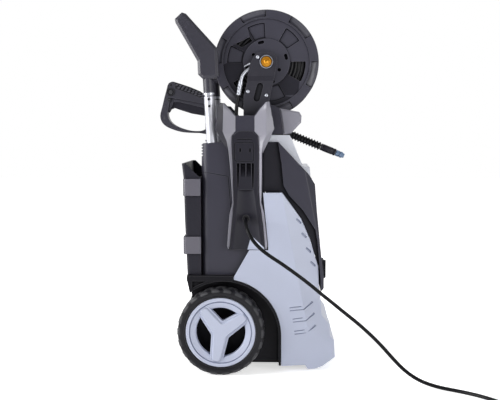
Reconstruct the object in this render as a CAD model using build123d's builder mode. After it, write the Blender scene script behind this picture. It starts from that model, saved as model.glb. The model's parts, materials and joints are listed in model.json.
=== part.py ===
"""Upright electric pressure washer with a hose reel on top.

Frame: +X is the front of the machine, +Z is up, +Y is its left-hand side.
The origin is on the floor, under the middle of the machine.  Millimetres.
"""
from build123d import *
from math import atan2, cos, degrees, pi, radians, sin, sqrt, tan
import os

os.makedirs("parts", exist_ok=True)

# ----------------------------------------------------------------- sizes
FIT = 0.3            # clearance between pieces that seat in one another
RUN = 0.6            # running clearance of turning pieces
WALL = 3.0           # moulded wall

# half widths across the machine
HOUSE_HW = 128.0                # rear housing and top deck
TRAY_HW = HOUSE_HW - 11.0       # chassis tub between the wheels
FASCIA_HW = HOUSE_HW + 8.0      # dark front fascia
COVER_HW = HOUSE_HW + 20.0      # light front cover
SPINE_HW = HOUSE_HW + 22.0      # Y-shaped side frames
INSERT_HW = HOUSE_HW + 18.0     # dark inserts inside the side frames
BIN_HW = HOUSE_HW + 7.0         # accessory bin
CONSOLE_HW = HOUSE_HW - 10.0    # hose outlet console
HOOD_HW = CONSOLE_HW - 4.0      # light panel on the front slope

# wheels and axle
WHEEL_R = 110.0
WHEEL_W = 60.0
WHEEL_GAP = 8.0      # tub wall to tyre
LUG = 3.5            # tread depth
LUGS = 22
LUG_W = 16.5
RIM_R = 88.0
RIM_OPEN_R = 62.0    # edge of the spoked opening
AXLE_X = -72.0
AXLE_Z = WHEEL_R
AXLE_D = 12.0
wheel_in = TRAY_HW + WHEEL_GAP
wheel_out = wheel_in + WHEEL_W
lug_top = sqrt(WHEEL_R**2 - (LUG_W / 2) ** 2)

# chassis tub, ledge and wheel arch
TRAY_BACK = -150.0
TRAY_FRONT = 146.0
TRAY_Z = 18.0        # underside
LEDGE_Z = 248.0      # top of the ledge
LEDGE_T = 14.0
LEDGE_BACK = -160.0
LEDGE_FRONT = -40.0
APRON_Z = 196.0
ARCH_R = 139.5
ARCH_LIP = 6.5
ARCH_DX = 6.0        # arch centre ahead of the axle
ARCH_DZ = -16.0      # arch centre below the axle
ARCH_FRONT = 80.0    # straight front leg of the arch
arch_x = AXLE_X + ARCH_DX
arch_z = AXLE_Z + ARCH_DZ

# levels of the body
BELT_Z = 314.0       # bottom tips of the side frames
COVER_Z = 459.0      # top edge of the front cover
HOUSE_Z = 586.0      # top of rear housing, underside of the deck
DECK_Z = 652.0       # floor of the notch under the reel
PRONG_Z = 688.0      # tips of the side frames
HOUSE_BACK = -124.0
HOUSE_FRONT = 33.0

# hose reel
REEL_X = 40.5
REEL_Z = 789.0
REEL_R = 134.0
FLANGE_OUT = 80.0    # outer face of a flange
FLANGE_T = 8.0
BAND_R = 110.5       # inner edge of the flange's outer band
DRUM_R = 60.0
PACK_R = 103.0       # wound hose
BRACKET_IN = 95.0
BRACKET_T = 5.0
JOGGLE = 4.0
BRACKET = [
    (-18, DECK_Z - 30), (48, DECK_Z - 30), (48, 691), (61, 750), (68, 790), (67, 801), (61, 811),
    (31, 815), (17, 812), (9, 804), (0, 784), (-6, 763), (-8, 739), (-17, 702),
]
STUB_R = 6.0
CRANK_R = 84.0

# handle
TUBE_Y = 111.0
TUBE_D = 27.0
TUBE_T = 1.6
INNER_GAP = 0.4      # radial play of the inner tube
TUBE_TILT = 3.4      # degrees back from vertical
TUBE_REF_X = -97.0   # tube axis at TUBE_REF_Z
TUBE_REF_Z = 583.0
TUBE_TOP = 703.5
TUBE_FOOT = 300.0
RING_H = 4.0
GRIP_GAP = 2.0       # dark groove between tube and ring
HANDLE_TRAVEL = 200.0

# hose, cord
HOSE_D = 9.5
CORD_D = 9.0

# hose outlet at the front, below the console
RELIEF_START = Vector(94, -20, 609)
HOSE_END_TILT = 22.0                 # degrees below horizontal
hose_end_dir = Vector(cos(radians(HOSE_END_TILT)), 0, -sin(radians(HOSE_END_TILT)))
BEND_D = 23.0
BEND_LEN = 96.0
BARREL_D = 19.0
BARREL_LEN = 42.0
NOZZLE_D = 17.0
NOZZLE_LEN = 24.0


def hose_end_plane(along):
    """Plane across the hose end, a distance along it from its root."""
    return Plane(origin=RELIEF_START + hose_end_dir * along, x_dir=(0, 1, 0), z_dir=hose_end_dir)

# feed pipe between the reel's flange and its bracket
SWIVEL_IN = FLANGE_OUT + 2.0
FEED_Y = -(SWIVEL_IN + 5)
FEED_D = 8.0
FERRULE_D = 12.0
FEED_FOOT_X = -37.0

# water inlet on the left side, low at the front
INLET_X = 104.0
INLET_Z = 116.0
INLET_R = 11.0

# stored gun and its lance
LANCE_X = -109.0
LANCE_D = 15.0


def tube_x(z):
    """X of the handle tubes' axis at height z."""
    return TUBE_REF_X - (z - TUBE_REF_Z) * tan(radians(TUBE_TILT))


tube_dir = Vector(-sin(radians(TUBE_TILT)), 0, cos(radians(TUBE_TILT)))


def tube_plane(y, z):
    """Plane across a handle tube, at height z."""
    return Plane(origin=(tube_x(z), y, z), x_dir=(0, 1, 0), z_dir=tube_dir)


def outward(x, y, z, sign=1):
    """Plane that faces out of the right-hand side, or of the left-hand one with sign -1."""
    return Plane(origin=(x, y, z), x_dir=(1, 0, 0), z_dir=(0, -sign, 0))


def write(piece, name):
    """Label a finished piece and write its STEP file."""
    piece.part.label = name
    export_step(piece.part, f"parts/{name}.step")


# ------------------------------------------------------------- wheels
for side, sign in (("right", 1), ("left", -1)):
    mid = -sign * (wheel_in + WHEEL_W / 2)
    axle_line = Axis((AXLE_X, mid, AXLE_Z), (0, 1, 0))
    # tyre: rounded section with a row of lugs on each shoulder
    with BuildPart() as tyre:
        with BuildSketch(Plane.YZ.offset(AXLE_X)) as section:
            with Locations((mid, AXLE_Z + (RIM_R + WHEEL_R - LUG) / 2)):
                Rectangle(WHEEL_W, WHEEL_R - LUG - RIM_R)
            outer = section.vertices().group_by(Axis.Y)[-1]
            chamfer(outer, 8)
        revolve(axis=axle_line)
        for row in (-1, 1):
            lug_plane = outward(AXLE_X, mid + row * WHEEL_W * 0.24, AXLE_Z)
            with BuildSketch(lug_plane):
                with PolarLocations(WHEEL_R - LUG, LUGS, start_angle=row * 90 / LUGS):
                    Rectangle(2 * (lug_top - WHEEL_R + LUG), LUG_W)
            extrude(amount=WHEEL_W * 0.13, both=True)
    write(tyre, f"tyre_{side}")

    # rim: stepped ring, Y-shaped spokes and a blind hub that takes the axle
    with BuildPart() as rim:
        with BuildSketch(outward(AXLE_X, -sign * (wheel_in + 2), AXLE_Z, sign)):
            Circle(RIM_R - FIT / 2)
            Circle(RIM_R - 6, mode=Mode.SUBTRACT)
        extrude(amount=WHEEL_W - 5)
        face_plane = outward(AXLE_X, -sign * (wheel_out - 14), AXLE_Z, sign)
        with BuildSketch(face_plane):
            Circle(RIM_R - 5)
            Circle(RIM_OPEN_R, mode=Mode.SUBTRACT)
        extrude(amount=7)
        with BuildSketch(face_plane.offset(7)):
            Circle(RIM_R - 11)
            Circle(RIM_OPEN_R + 6, mode=Mode.SUBTRACT)
        extrude(amount=3)
        with BuildSketch(face_plane.offset(-4)):
            Circle(RIM_OPEN_R + 2)
            Circle(RIM_OPEN_R - 3, mode=Mode.SUBTRACT)
        extrude(amount=11)
        stem = 261 if sign > 0 else 279
        with BuildSketch(face_plane.offset(-8)) as spokes:
            for turn, width in ((0, 34), (180 - 46.5, 30), (180 + 46.5, 30)):
                with PolarLocations(RIM_OPEN_R / 2, 1, start_angle=stem + turn):
                    Rectangle(RIM_OPEN_R, width)
            Circle(24)
        extrude(amount=16)
        with BuildSketch(outward(AXLE_X, -sign * (wheel_in + 1), AXLE_Z, sign)):
            Circle(17)
        extrude(amount=WHEEL_W - 20)
        with BuildSketch(outward(AXLE_X, -sign * (wheel_in - 1), AXLE_Z, sign)):
            Circle(AXLE_D / 2 + FIT)
        extrude(amount=WHEEL_W - 14, mode=Mode.SUBTRACT)
    write(rim, f"rim_{side}")

# axle: straight bar through the tub, with its ends in the blind hubs
with BuildPart() as axle:
    with BuildSketch(Plane.XZ.offset(-(wheel_out - 20))):
        with Locations((AXLE_X, AXLE_Z)):
            Circle(AXLE_D / 2)
    extrude(amount=2 * (wheel_out - 20))
    chamfer(axle.edges().filter_by(GeomType.CIRCLE), 1)
write(axle, "axle")

# ------------------------------------------------------ chassis tray
with BuildPart() as chassis_tray:
    with BuildSketch(Plane.XZ):
        with BuildLine():
            Polyline(
                (TRAY_BACK, LEDGE_Z - LEDGE_T),
                (TRAY_BACK, AXLE_Z - 40),
                (TRAY_BACK + 55, TRAY_Z),
                (TRAY_FRONT, TRAY_Z),
                (TRAY_FRONT, LEDGE_Z - LEDGE_T),
                close=True,
            )
        make_face()
    extrude(amount=TRAY_HW, both=True)
    fillet(chassis_tray.edges().filter_by(Axis.Y).group_by(Axis.Z)[0], 12)
    # ledge that carries the rear housing and the bin
    with BuildSketch(Plane.XY.offset(LEDGE_Z - LEDGE_T)):
        with Locations(((LEDGE_BACK + LEDGE_FRONT) / 2, 0)):
            RectangleRounded(LEDGE_FRONT - LEDGE_BACK, 2 * SPINE_HW, 5)
    extrude(amount=LEDGE_T)
    # rear apron, leaning under the ledge
    with BuildSketch(Plane.XZ):
        with BuildLine():
            Polyline(
                (LEDGE_BACK, LEDGE_Z - LEDGE_T / 2),
                (LEDGE_BACK + 10, APRON_Z),
                (LEDGE_BACK + 14, APRON_Z),
                (LEDGE_BACK + 14, LEDGE_Z - LEDGE_T / 2),
                close=True,
            )
        make_face()
    extrude(amount=SPINE_HW, both=True)
    # wheel arches: lip bands that follow the tyres
    with BuildSketch(Plane.XZ):
        with Locations((arch_x, arch_z)):
            Circle(ARCH_R + ARCH_LIP)
        with Locations(((arch_x + ARCH_FRONT) / 2, (TRAY_Z + arch_z) / 2)):
            Rectangle(ARCH_FRONT - arch_x, arch_z - TRAY_Z)
        with BuildLine():
            Polyline(
                (LEDGE_BACK + 12, TRAY_Z + 380),
                (ARCH_FRONT + 50, TRAY_Z + 380),
                (ARCH_FRONT + 50, TRAY_Z),
                (arch_x, TRAY_Z),
                (arch_x, APRON_Z),
                (LEDGE_BACK + 12, APRON_Z),
                close=True,
            )
        make_face(mode=Mode.INTERSECT)
    extrude(amount=SPINE_HW - 1, both=True)
    # side walls between the ledge and the arch lips
    with BuildSketch(Plane.XZ):
        with BuildLine():
            Polyline(
                (LEDGE_BACK + 12, LEDGE_Z - LEDGE_T / 2),
                (LEDGE_BACK + 12, APRON_Z),
                (LEDGE_FRONT - RUN, APRON_Z),
                (LEDGE_FRONT - RUN, LEDGE_Z - LEDGE_T / 2),
                close=True,
            )
        make_face()
    extrude(amount=COVER_HW - 2, both=True)
    for out in (TRAY_HW, -TRAY_HW - 100):
        with BuildSketch(Plane.XZ.offset(out)):
            with Locations((arch_x, arch_z)):
                Circle(ARCH_R)
            with Locations(((arch_x + ARCH_FRONT - ARCH_LIP) / 2, arch_z / 2)):
                Rectangle(ARCH_FRONT - ARCH_LIP - arch_x, arch_z)
        extrude(amount=100, mode=Mode.SUBTRACT)
    # the tub is hollow and open at the top
    with BuildSketch(Plane.XZ):
        with BuildLine():
            Polyline(
                (HOUSE_BACK + WALL + 3, LEDGE_Z + 1),
                (HOUSE_BACK + WALL + 3, LEDGE_Z - LEDGE_T - WALL),
                (TRAY_BACK + WALL, LEDGE_Z - LEDGE_T - WALL),
                (TRAY_BACK + WALL, AXLE_Z - 40 + WALL),
                (TRAY_BACK + 55 + WALL, TRAY_Z + WALL),
                (TRAY_FRONT - WALL, TRAY_Z + WALL),
                (TRAY_FRONT - WALL, LEDGE_Z + 1),
                close=True,
            )
        make_face()
    extrude(amount=TRAY_HW - WALL, both=True, mode=Mode.SUBTRACT)
    # axle bosses and bore
    for out in (TRAY_HW - 24, -TRAY_HW - WHEEL_GAP + 2):
        with BuildSketch(Plane.XZ.offset(out)):
            with Locations((AXLE_X, AXLE_Z)):
                Circle(AXLE_D)
        extrude(amount=22 + WHEEL_GAP)
    with BuildSketch(Plane.XZ.offset(-TRAY_HW - 50)):
        with Locations((AXLE_X, AXLE_Z)):
            Circle(AXLE_D / 2 + 0.1)
    extrude(amount=2 * TRAY_HW + 100, mode=Mode.SUBTRACT)
    # opening for the water inlet
    with BuildSketch(Plane.XZ.offset(-TRAY_HW - 2)):
        with Locations((INLET_X, INLET_Z)):
            Circle(INLET_R + 1)
    extrude(amount=20, mode=Mode.SUBTRACT)
write(chassis_tray, "chassis_tray")

# --------------------------------------------------------- side frames
RIDGE_H = 7.0        # height of the ridges over the frame's dark plate
RIDGE_W = 0.8        # flat top of a ridge
FRAME = [
    (-80, PRONG_Z - 12), (-74, PRONG_Z - 4), (-63, PRONG_Z - 5), (-35, DECK_Z), (11, DECK_Z),
    (38, PRONG_Z), (50, PRONG_Z), (62, 619), (33, 558), (32, 454), (38, 404), (46, 324), (44.5, BELT_Z),
    (-56, BELT_Z), (-59, 325), (-53, 402), (-45, 434), (-46, 460), (-54, 541), (-55, 562), (-87, 618),
]
# stations of a ridge, from its tip down: outer foot, crest, inner foot
REAR_RIDGE = [
    ((-74, PRONG_Z - 5), (-66, PRONG_Z - 6), (-63, PRONG_Z - 7)), ((-80, 675), (-65.5, 665), (-49, 666)),
    ((-81, 646), (-66, 646), (-36, DECK_Z - 2)), ((-86, 618), (-67, 612), (-36, 613)),
    ((-71.5, 590), (-57, 588), (-45, 601)), ((-54, 562), (-52, 562), (-45, 581)),
    ((-50, 517), (-48, 517), (-42, 517)), ((-45.5, 460), (-44, 460), (-41, 460)),
    ((-44, 434), (-42.5, 434), (-40, 434)), ((-52.5, 402), (-50.5, 402), (-43, 402)),
    ((-58.5, 325), (-56.5, 325), (-50, 325)), ((-55.5, BELT_Z + 1), (-54, 318), (-52, 317)),
]
FRONT_RIDGE = [
    ((49, PRONG_Z - 1), (42, PRONG_Z - 2), (39.5, PRONG_Z - 3)), ((53, 668), (41, 668), (25, 668)),
    ((57, 646), (41, 646), (12, DECK_Z - 2)), ((61, 619), (42.5, 612), (12, 613)),
    ((55, 605), (42, 603), (21, 601)), ((44, 582), (33, 584), (22, 580)),
    ((32.5, 558), (30, 562), (22.5, 560)), ((32.1, 517), (30.2, 517), (22.2, 517)),
    ((31.5, 460), (29.5, 460), (22.5, 460)), ((30.5, 434), (28.5, 434), (24.5, 434)),
    ((37.6, 404), (36, 404), (29, 404)), ((42.2, 359), (40.7, 359), (34.5, 359)),
    ((45.6, 324), (44, 324), (37.5, 323)), ((43.8, BELT_Z + 1), (42, 318), (39, 317)),
]
INSERT = [
    (-44, 601), (-29, 613), (6, 613), (20.5, 601), (21.5, 580), (22, 560), (22, 460), (24, 434),
    (28.5, 404), (34, 359), (37, BELT_Z - FIT), (-50, BELT_Z - FIT), (-42.5, 402), (-39.5, 434),
    (-40.5, 460), (-41.5, 517), (-44.5, 581),
]
with BuildPart() as spine_right:
    with BuildSketch(Plane.XZ.offset(HOUSE_HW + FIT)):
        with BuildLine():
            Polyline(*FRAME, close=True)
        make_face()
    extrude(amount=SPINE_HW - RIDGE_H - HOUSE_HW - FIT)
    # faceted ridges: each falls from its crest to an outer and an inner foot
    for ridge in (REAR_RIDGE, FRONT_RIDGE):
        outer_foot = [station[0] for station in ridge]
        inner_foot = [station[2] for station in reversed(ridge)]
        crest = [station[1] for station in ridge]
        turned = RIDGE_W / 2 if ridge is FRONT_RIDGE else -RIDGE_W / 2
        with BuildSketch(Plane.XZ.offset(SPINE_HW - RIDGE_H)):
            with BuildLine():
                Polyline(*outer_foot, *inner_foot, close=True)
            make_face()
        with BuildSketch(Plane.XZ.offset(SPINE_HW)):
            with BuildLine():
                Polyline(
                    *[(x + turned, z) for x, z in crest],
                    *[(x - turned, z) for x, z in reversed(crest)], close=True,
                )
            make_face()
        loft(ruled=True)
    with BuildSketch(Plane.XZ.offset(HOUSE_HW)):
        with BuildLine():
            Polyline(*INSERT, close=True)
        make_face()
    extrude(amount=SPINE_HW, mode=Mode.SUBTRACT)
write(spine_right, "spine_right")
with BuildPart() as spine_left:
    mirror(spine_right.part, about=Plane.XZ)
write(spine_left, "spine_left")

# dark insert of a side frame: slit, smooth pad, ramped grille, hollow channel
PAD = (-37, 9, 539, 584)             # x0, x1, z0, z1
PAD_GROOVE = 2.0
SLIT = (-32, 6, 593)                 # x0, x1, z
GRILLE_TOP = 533.0
GRILLE_DEEP = 9.0
RAMP_DROP = 34.0                     # the inner slots run out to the face this far down
RAMP_HEAD = 8.0
SIDE_SLOT_FOOT = 471.0
CHANNEL_TOP = 466.0
CHANNEL_HW = (20.0, 36.0)            # half width at the top and at the foot
CHANNEL_DEEP = (5.0, 8.5)
CHANNEL_X = (-9.5, -5.0)
CORD_OUT_X = -9.0
CORD_OUT_Z = 394.0
RELIEF_D = 15.0
insert_face = Plane.XZ.offset(INSERT_HW)
ramp_foot = GRILLE_TOP - RAMP_DROP

with BuildPart() as spine_insert_left:
    with BuildSketch(Plane.XZ.offset(-INSERT_HW)):
        with BuildLine():
            Polyline(*INSERT, close=True)
        make_face()
        offset(amount=-FIT, kind=Kind.INTERSECTION, mode=Mode.REPLACE)
    extrude(amount=INSERT_HW - HOUSE_HW - FIT)
    mirror(about=Plane.XZ, mode=Mode.REPLACE)
    # concave channel below the grille, wider towards its foot
    for level, x, half, deep in zip((CHANNEL_TOP, BELT_Z - 1), CHANNEL_X, CHANNEL_HW, CHANNEL_DEEP):
        scoop_r = (half**2 + deep**2) / (2 * deep)
        with BuildSketch(Plane.XY.offset(level)):
            with Locations((x, -INSERT_HW + deep - scoop_r)):
                Circle(scoop_r)
    loft(mode=Mode.SUBTRACT)
    # slit and groove round the pad
    with BuildSketch(insert_face.offset(-PAD_GROOVE)):
        with Locations(((PAD[0] + PAD[1]) / 2, (PAD[2] + PAD[3]) / 2)):
            RectangleRounded(PAD[1] - PAD[0] + 3, PAD[3] - PAD[2] + 3, 5)
            RectangleRounded(PAD[1] - PAD[0], PAD[3] - PAD[2], 4, mode=Mode.SUBTRACT)
        with Locations(((SLIT[0] + SLIT[1]) / 2, SLIT[2])):
            SlotOverall(SLIT[1] - SLIT[0], 2)
    extrude(amount=10, mode=Mode.SUBTRACT)
    # two slots in the pad, and the tapering outer slots of the grille
    with BuildSketch(insert_face.offset(-GRILLE_DEEP)):
        with Locations((-24, 566), (1, 566)):
            SlotOverall(10, 4, rotation=90)
        for foot_x, left, right in ((-29.5, -32, -26), (8, 5, 11)):
            with BuildLine():
                Polyline(
                    (left, GRILLE_TOP), (right, GRILLE_TOP), (foot_x + 1, SIDE_SLOT_FOOT),
                    (foot_x - 1, SIDE_SLOT_FOOT), close=True,
                )
            make_face()
    extrude(amount=12, mode=Mode.SUBTRACT)
    # inner slots: their floors ramp up to the face, either side of the rib
    for left, right in ((-23, -11.5), (-8, 3)):
        with BuildSketch(Plane.YZ.offset(left)):
            with BuildLine():
                Polyline(
                    (-INSERT_HW - 1, GRILLE_TOP), (-INSERT_HW + GRILLE_DEEP, GRILLE_TOP),
                    (-INSERT_HW + GRILLE_DEEP, GRILLE_TOP - RAMP_HEAD), (-INSERT_HW, ramp_foot),
                    (-INSERT_HW - 1, ramp_foot),
                    close=True,
                )
            make_face()
        extrude(amount=right - left, mode=Mode.SUBTRACT)
with BuildPart() as spine_insert_right:
    add(spine_insert_left.part)
    # outlet of the power cord
    with BuildSketch(Plane.XZ.offset(HOUSE_HW)):
        with Locations((CORD_OUT_X, CORD_OUT_Z)):
            Circle(RELIEF_D / 2 + FIT)
    extrude(amount=SPINE_HW, mode=Mode.SUBTRACT)
with BuildPart() as spine_insert_far:
    mirror(spine_insert_left.part, about=Plane.XZ)
write(spine_insert_right, "spine_insert_right")
write(spine_insert_far, "spine_insert_left")

# ------------------------------------------------------- rear housing
SOCKET_D = 24.0
SOCKET_FOOT = 282.0
REAR_CORNER = 20.0
SEAM_Z = 508.0                       # seam round the back, falling along the sides
SEAM_W = 1.6
SEAM_DEEP = 1.5
LOUVRE_DEEP = 4.0
LOUVRES = 4
LOUVRE_PITCH = 7.5
louvre_wall = HOUSE_BACK + WALL + LOUVRE_DEEP
with BuildPart() as house_cavity:
    with BuildSketch(Plane.XZ):
        with BuildLine():
            Polyline(
                (HOUSE_BACK, LEDGE_Z - 1), (HOUSE_BACK, HOUSE_Z - 52), (louvre_wall, HOUSE_Z - 47),
                (louvre_wall, HOUSE_Z - 7 - WALL), (-63, HOUSE_Z - WALL),
                (HOUSE_FRONT + 1, HOUSE_Z - WALL),
                (HOUSE_FRONT + 1, LEDGE_Z - 1), close=True,
            )
        make_face()
    extrude(amount=HOUSE_HW, both=True)
    with BuildSketch(Plane.XY.offset(LEDGE_Z - 1)):
        with Locations(((HOUSE_BACK + WALL + HOUSE_FRONT + REAR_CORNER) / 2, 0)):
            RectangleRounded(
                HOUSE_FRONT + REAR_CORNER - HOUSE_BACK - WALL, 2 * (HOUSE_HW - WALL), REAR_CORNER - WALL,
            )
    extrude(amount=HOUSE_Z - LEDGE_Z, mode=Mode.INTERSECT)
with BuildPart() as rear_housing:
    with BuildSketch(Plane.XZ):
        with BuildLine():
            Polyline(
                (HOUSE_BACK, LEDGE_Z), (HOUSE_BACK, HOUSE_Z - 7), (-118, HOUSE_Z - 3), (-63, HOUSE_Z),
                (HOUSE_FRONT, HOUSE_Z), (HOUSE_FRONT, LEDGE_Z), close=True,
            )
        make_face()
    extrude(amount=HOUSE_HW, both=True)
    rear_corners = rear_housing.edges().filter_by(Axis.Z).group_by(Axis.X)[0]
    fillet(rear_corners, REAR_CORNER)
    add(house_cavity.part, mode=Mode.SUBTRACT)
    # louvres across the back, below the top
    with BuildSketch(Plane.YZ.offset(HOUSE_BACK - 1)):
        with Locations((0, HOUSE_Z - 23)):
            with GridLocations(1, LOUVRE_PITCH, 1, LOUVRES):
                Rectangle(2 * HOUSE_HW + 2, LOUVRE_PITCH / 2)
    extrude(amount=LOUVRE_DEEP + 1, mode=Mode.SUBTRACT)
    # seam: a groove round the rear corners, then down the sides
    with BuildSketch(Plane.XY.offset(SEAM_Z - SEAM_W / 2)):
        with Locations((HOUSE_BACK + REAR_CORNER / 2, 0)):
            Rectangle(REAR_CORNER, 2 * HOUSE_HW)
        with Locations(((HOUSE_BACK + HOUSE_FRONT) / 2, 0)):
            RectangleRounded(
                HOUSE_FRONT - HOUSE_BACK - 2 * SEAM_DEEP, 2 * (HOUSE_HW - SEAM_DEEP), REAR_CORNER - SEAM_DEEP,
                mode=Mode.SUBTRACT,
            )
    extrude(amount=SEAM_W, mode=Mode.SUBTRACT)
    for side in (-1, 1):
        with BuildSketch(outward(0, side * (HOUSE_HW - SEAM_DEEP), 0)):
            with BuildLine():
                Polyline(
                    (HOUSE_BACK + REAR_CORNER, SEAM_Z + SEAM_W / 2), (-56 + SEAM_W, SEAM_Z - 8),
                    (-47, 410),
                    (-47 - SEAM_W, 410), (-56, SEAM_Z - 8 - SEAM_W),
                    (HOUSE_BACK + REAR_CORNER, SEAM_Z - SEAM_W / 2),
                    close=True,
                )
            make_face()
        extrude(amount=-side * SEAM_DEEP * 2, mode=Mode.SUBTRACT)
    # holes for the handle tubes and the lance
    for y in (-TUBE_Y, TUBE_Y):
        with BuildSketch(tube_plane(y, HOUSE_Z - 30)):
            Circle(TUBE_D / 2 + FIT)
        extrude(amount=60, mode=Mode.SUBTRACT)
    with BuildSketch(Plane.XY.offset(HOUSE_Z - 55)):
        with Locations((LANCE_X, 0)):
            Circle(SOCKET_D / 2 + FIT)
    extrude(amount=85, mode=Mode.SUBTRACT)
write(rear_housing, "rear_housing")

# socket that holds the lance of the stored gun
with BuildPart() as lance_socket:
    with BuildSketch(Plane.XY.offset(SOCKET_FOOT)):
        with Locations((LANCE_X, 0)):
            Circle(SOCKET_D / 2)
    extrude(amount=HOUSE_Z - SOCKET_FOOT + 4)
    with BuildSketch(Plane.XY.offset(SOCKET_FOOT + WALL)):
        with Locations((LANCE_X, 0)):
            Circle(SOCKET_D / 2 - 2)
    extrude(amount=HOUSE_Z - SOCKET_FOOT + 4, mode=Mode.SUBTRACT)
    # flange on top of the housing, and a foot bracket to the back wall
    with BuildSketch(Plane.XY.offset(HOUSE_Z + FIT)):
        with Locations((LANCE_X, 0)):
            Circle(SOCKET_D / 2 + 3)
            Circle(SOCKET_D / 2 - 2, mode=Mode.SUBTRACT)
    extrude(amount=4 - FIT)
write(lance_socket, "lance_socket")

# ------------------------------------------------------ handle tubes
with BuildPart() as handle_tubes:
    for y in (-TUBE_Y, TUBE_Y):
        length = (TUBE_TOP - TUBE_FOOT) / cos(radians(TUBE_TILT))
        with BuildSketch(tube_plane(y, TUBE_FOOT)):
            Circle(TUBE_D / 2)
            Circle(TUBE_D / 2 - TUBE_T, mode=Mode.SUBTRACT)
        extrude(amount=length)
    # adjustment holes that face outwards
    for z in (TUBE_TOP - 10, TUBE_TOP - 27):
        with BuildSketch(Plane.XZ.offset(-TUBE_Y - TUBE_D)):
            with Locations((tube_x(z), z)):
                Circle(3.6)
        extrude(amount=TUBE_D, mode=Mode.SUBTRACT)
        with BuildSketch(Plane.XZ.offset(TUBE_Y)):
            with Locations((tube_x(z), z)):
                Circle(3.6)
        extrude(amount=TUBE_D, mode=Mode.SUBTRACT)
write(handle_tubes, "handle_tubes")

INNER_R = TUBE_D / 2 - TUBE_T - INNER_GAP
RING_Z = TUBE_TOP + GRIP_GAP
SLEEVE_Z = RING_Z + RING_H
INNER_FOOT = 376.0
SLEEVE_TOP = 746.0
with BuildPart() as handle_inner_tubes:
    for y in (-TUBE_Y, TUBE_Y):
        with BuildSketch(tube_plane(y, INNER_FOOT)):
            Circle(INNER_R)
            Circle(INNER_R - TUBE_T, mode=Mode.SUBTRACT)
        extrude(amount=(SLEEVE_TOP + 8 - INNER_FOOT) / cos(radians(TUBE_TILT)))
write(handle_inner_tubes, "handle_inner_tubes")

with BuildPart() as grip_rings:
    for y in (-TUBE_Y, TUBE_Y):
        with BuildSketch(tube_plane(y, RING_Z)):
            Circle(TUBE_D / 2 + 0.5)
            Circle(INNER_R + 0.1, mode=Mode.SUBTRACT)
        extrude(amount=RING_H)
write(grip_rings, "grip_rings")

# grip: two cranked, bevelled legs joined by a cross bar
LEG = [
    (-171, 910), (-160.5, 906.5), (-84, 822.5), (-81.5, 814), (-79, 752), (-91.5, SLEEVE_TOP - 1),
    (-120, SLEEVE_TOP - 1), (-131, 755.5), (-132.5, 789), (-187, 884), (-189, 893.5),
]
LEG_W = 34.0
LEG_BEVEL = 7.0                      # width of the bevel round each side of a leg
LEG_RISE = 5.0                       # its height
BAR_X = -170.0
BAR_Z = 890.0
BAR_R = 14.0
with BuildPart() as handle_grip:
    with BuildSketch(Plane.XZ.offset(-TUBE_Y - LEG_W / 2 + LEG_RISE)):
        with BuildLine():
            Polyline(*LEG, close=True)
        leg_outline = make_face()
    extrude(amount=LEG_W - 2 * LEG_RISE)
    for out, inner in ((LEG_W / 2 - LEG_RISE, LEG_W / 2), (LEG_RISE - LEG_W / 2, -LEG_W / 2)):
        with BuildSketch(Plane.XZ.offset(-TUBE_Y + out)):
            with BuildLine():
                Polyline(*LEG, close=True)
            make_face()
        with BuildSketch(Plane.XZ.offset(-TUBE_Y + inner)):
            with BuildLine():
                Polyline(*LEG, close=True)
            make_face()
            offset(amount=-LEG_BEVEL, kind=Kind.INTERSECTION, mode=Mode.REPLACE)
        loft(ruled=True)
    mirror(about=Plane.XZ)
    with BuildSketch(Plane.XZ.offset(-TUBE_Y)):
        with Locations((BAR_X, BAR_Z)):
            Circle(BAR_R)
    extrude(amount=2 * TUBE_Y)
    # sleeves round the inner tubes
    for y in (-TUBE_Y, TUBE_Y):
        with BuildSketch(tube_plane(y, SLEEVE_Z)):
            Circle(TUBE_D / 2)
        extrude(amount=(SLEEVE_TOP - SLEEVE_Z) / cos(radians(TUBE_TILT)) + 6)
        with BuildSketch(tube_plane(y, SLEEVE_Z)):
            Circle(INNER_R + 0.1)
        extrude(amount=(SLEEVE_TOP + 9 - SLEEVE_Z) / cos(radians(TUBE_TILT)), mode=Mode.SUBTRACT)
write(handle_grip, "handle_grip")

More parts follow.
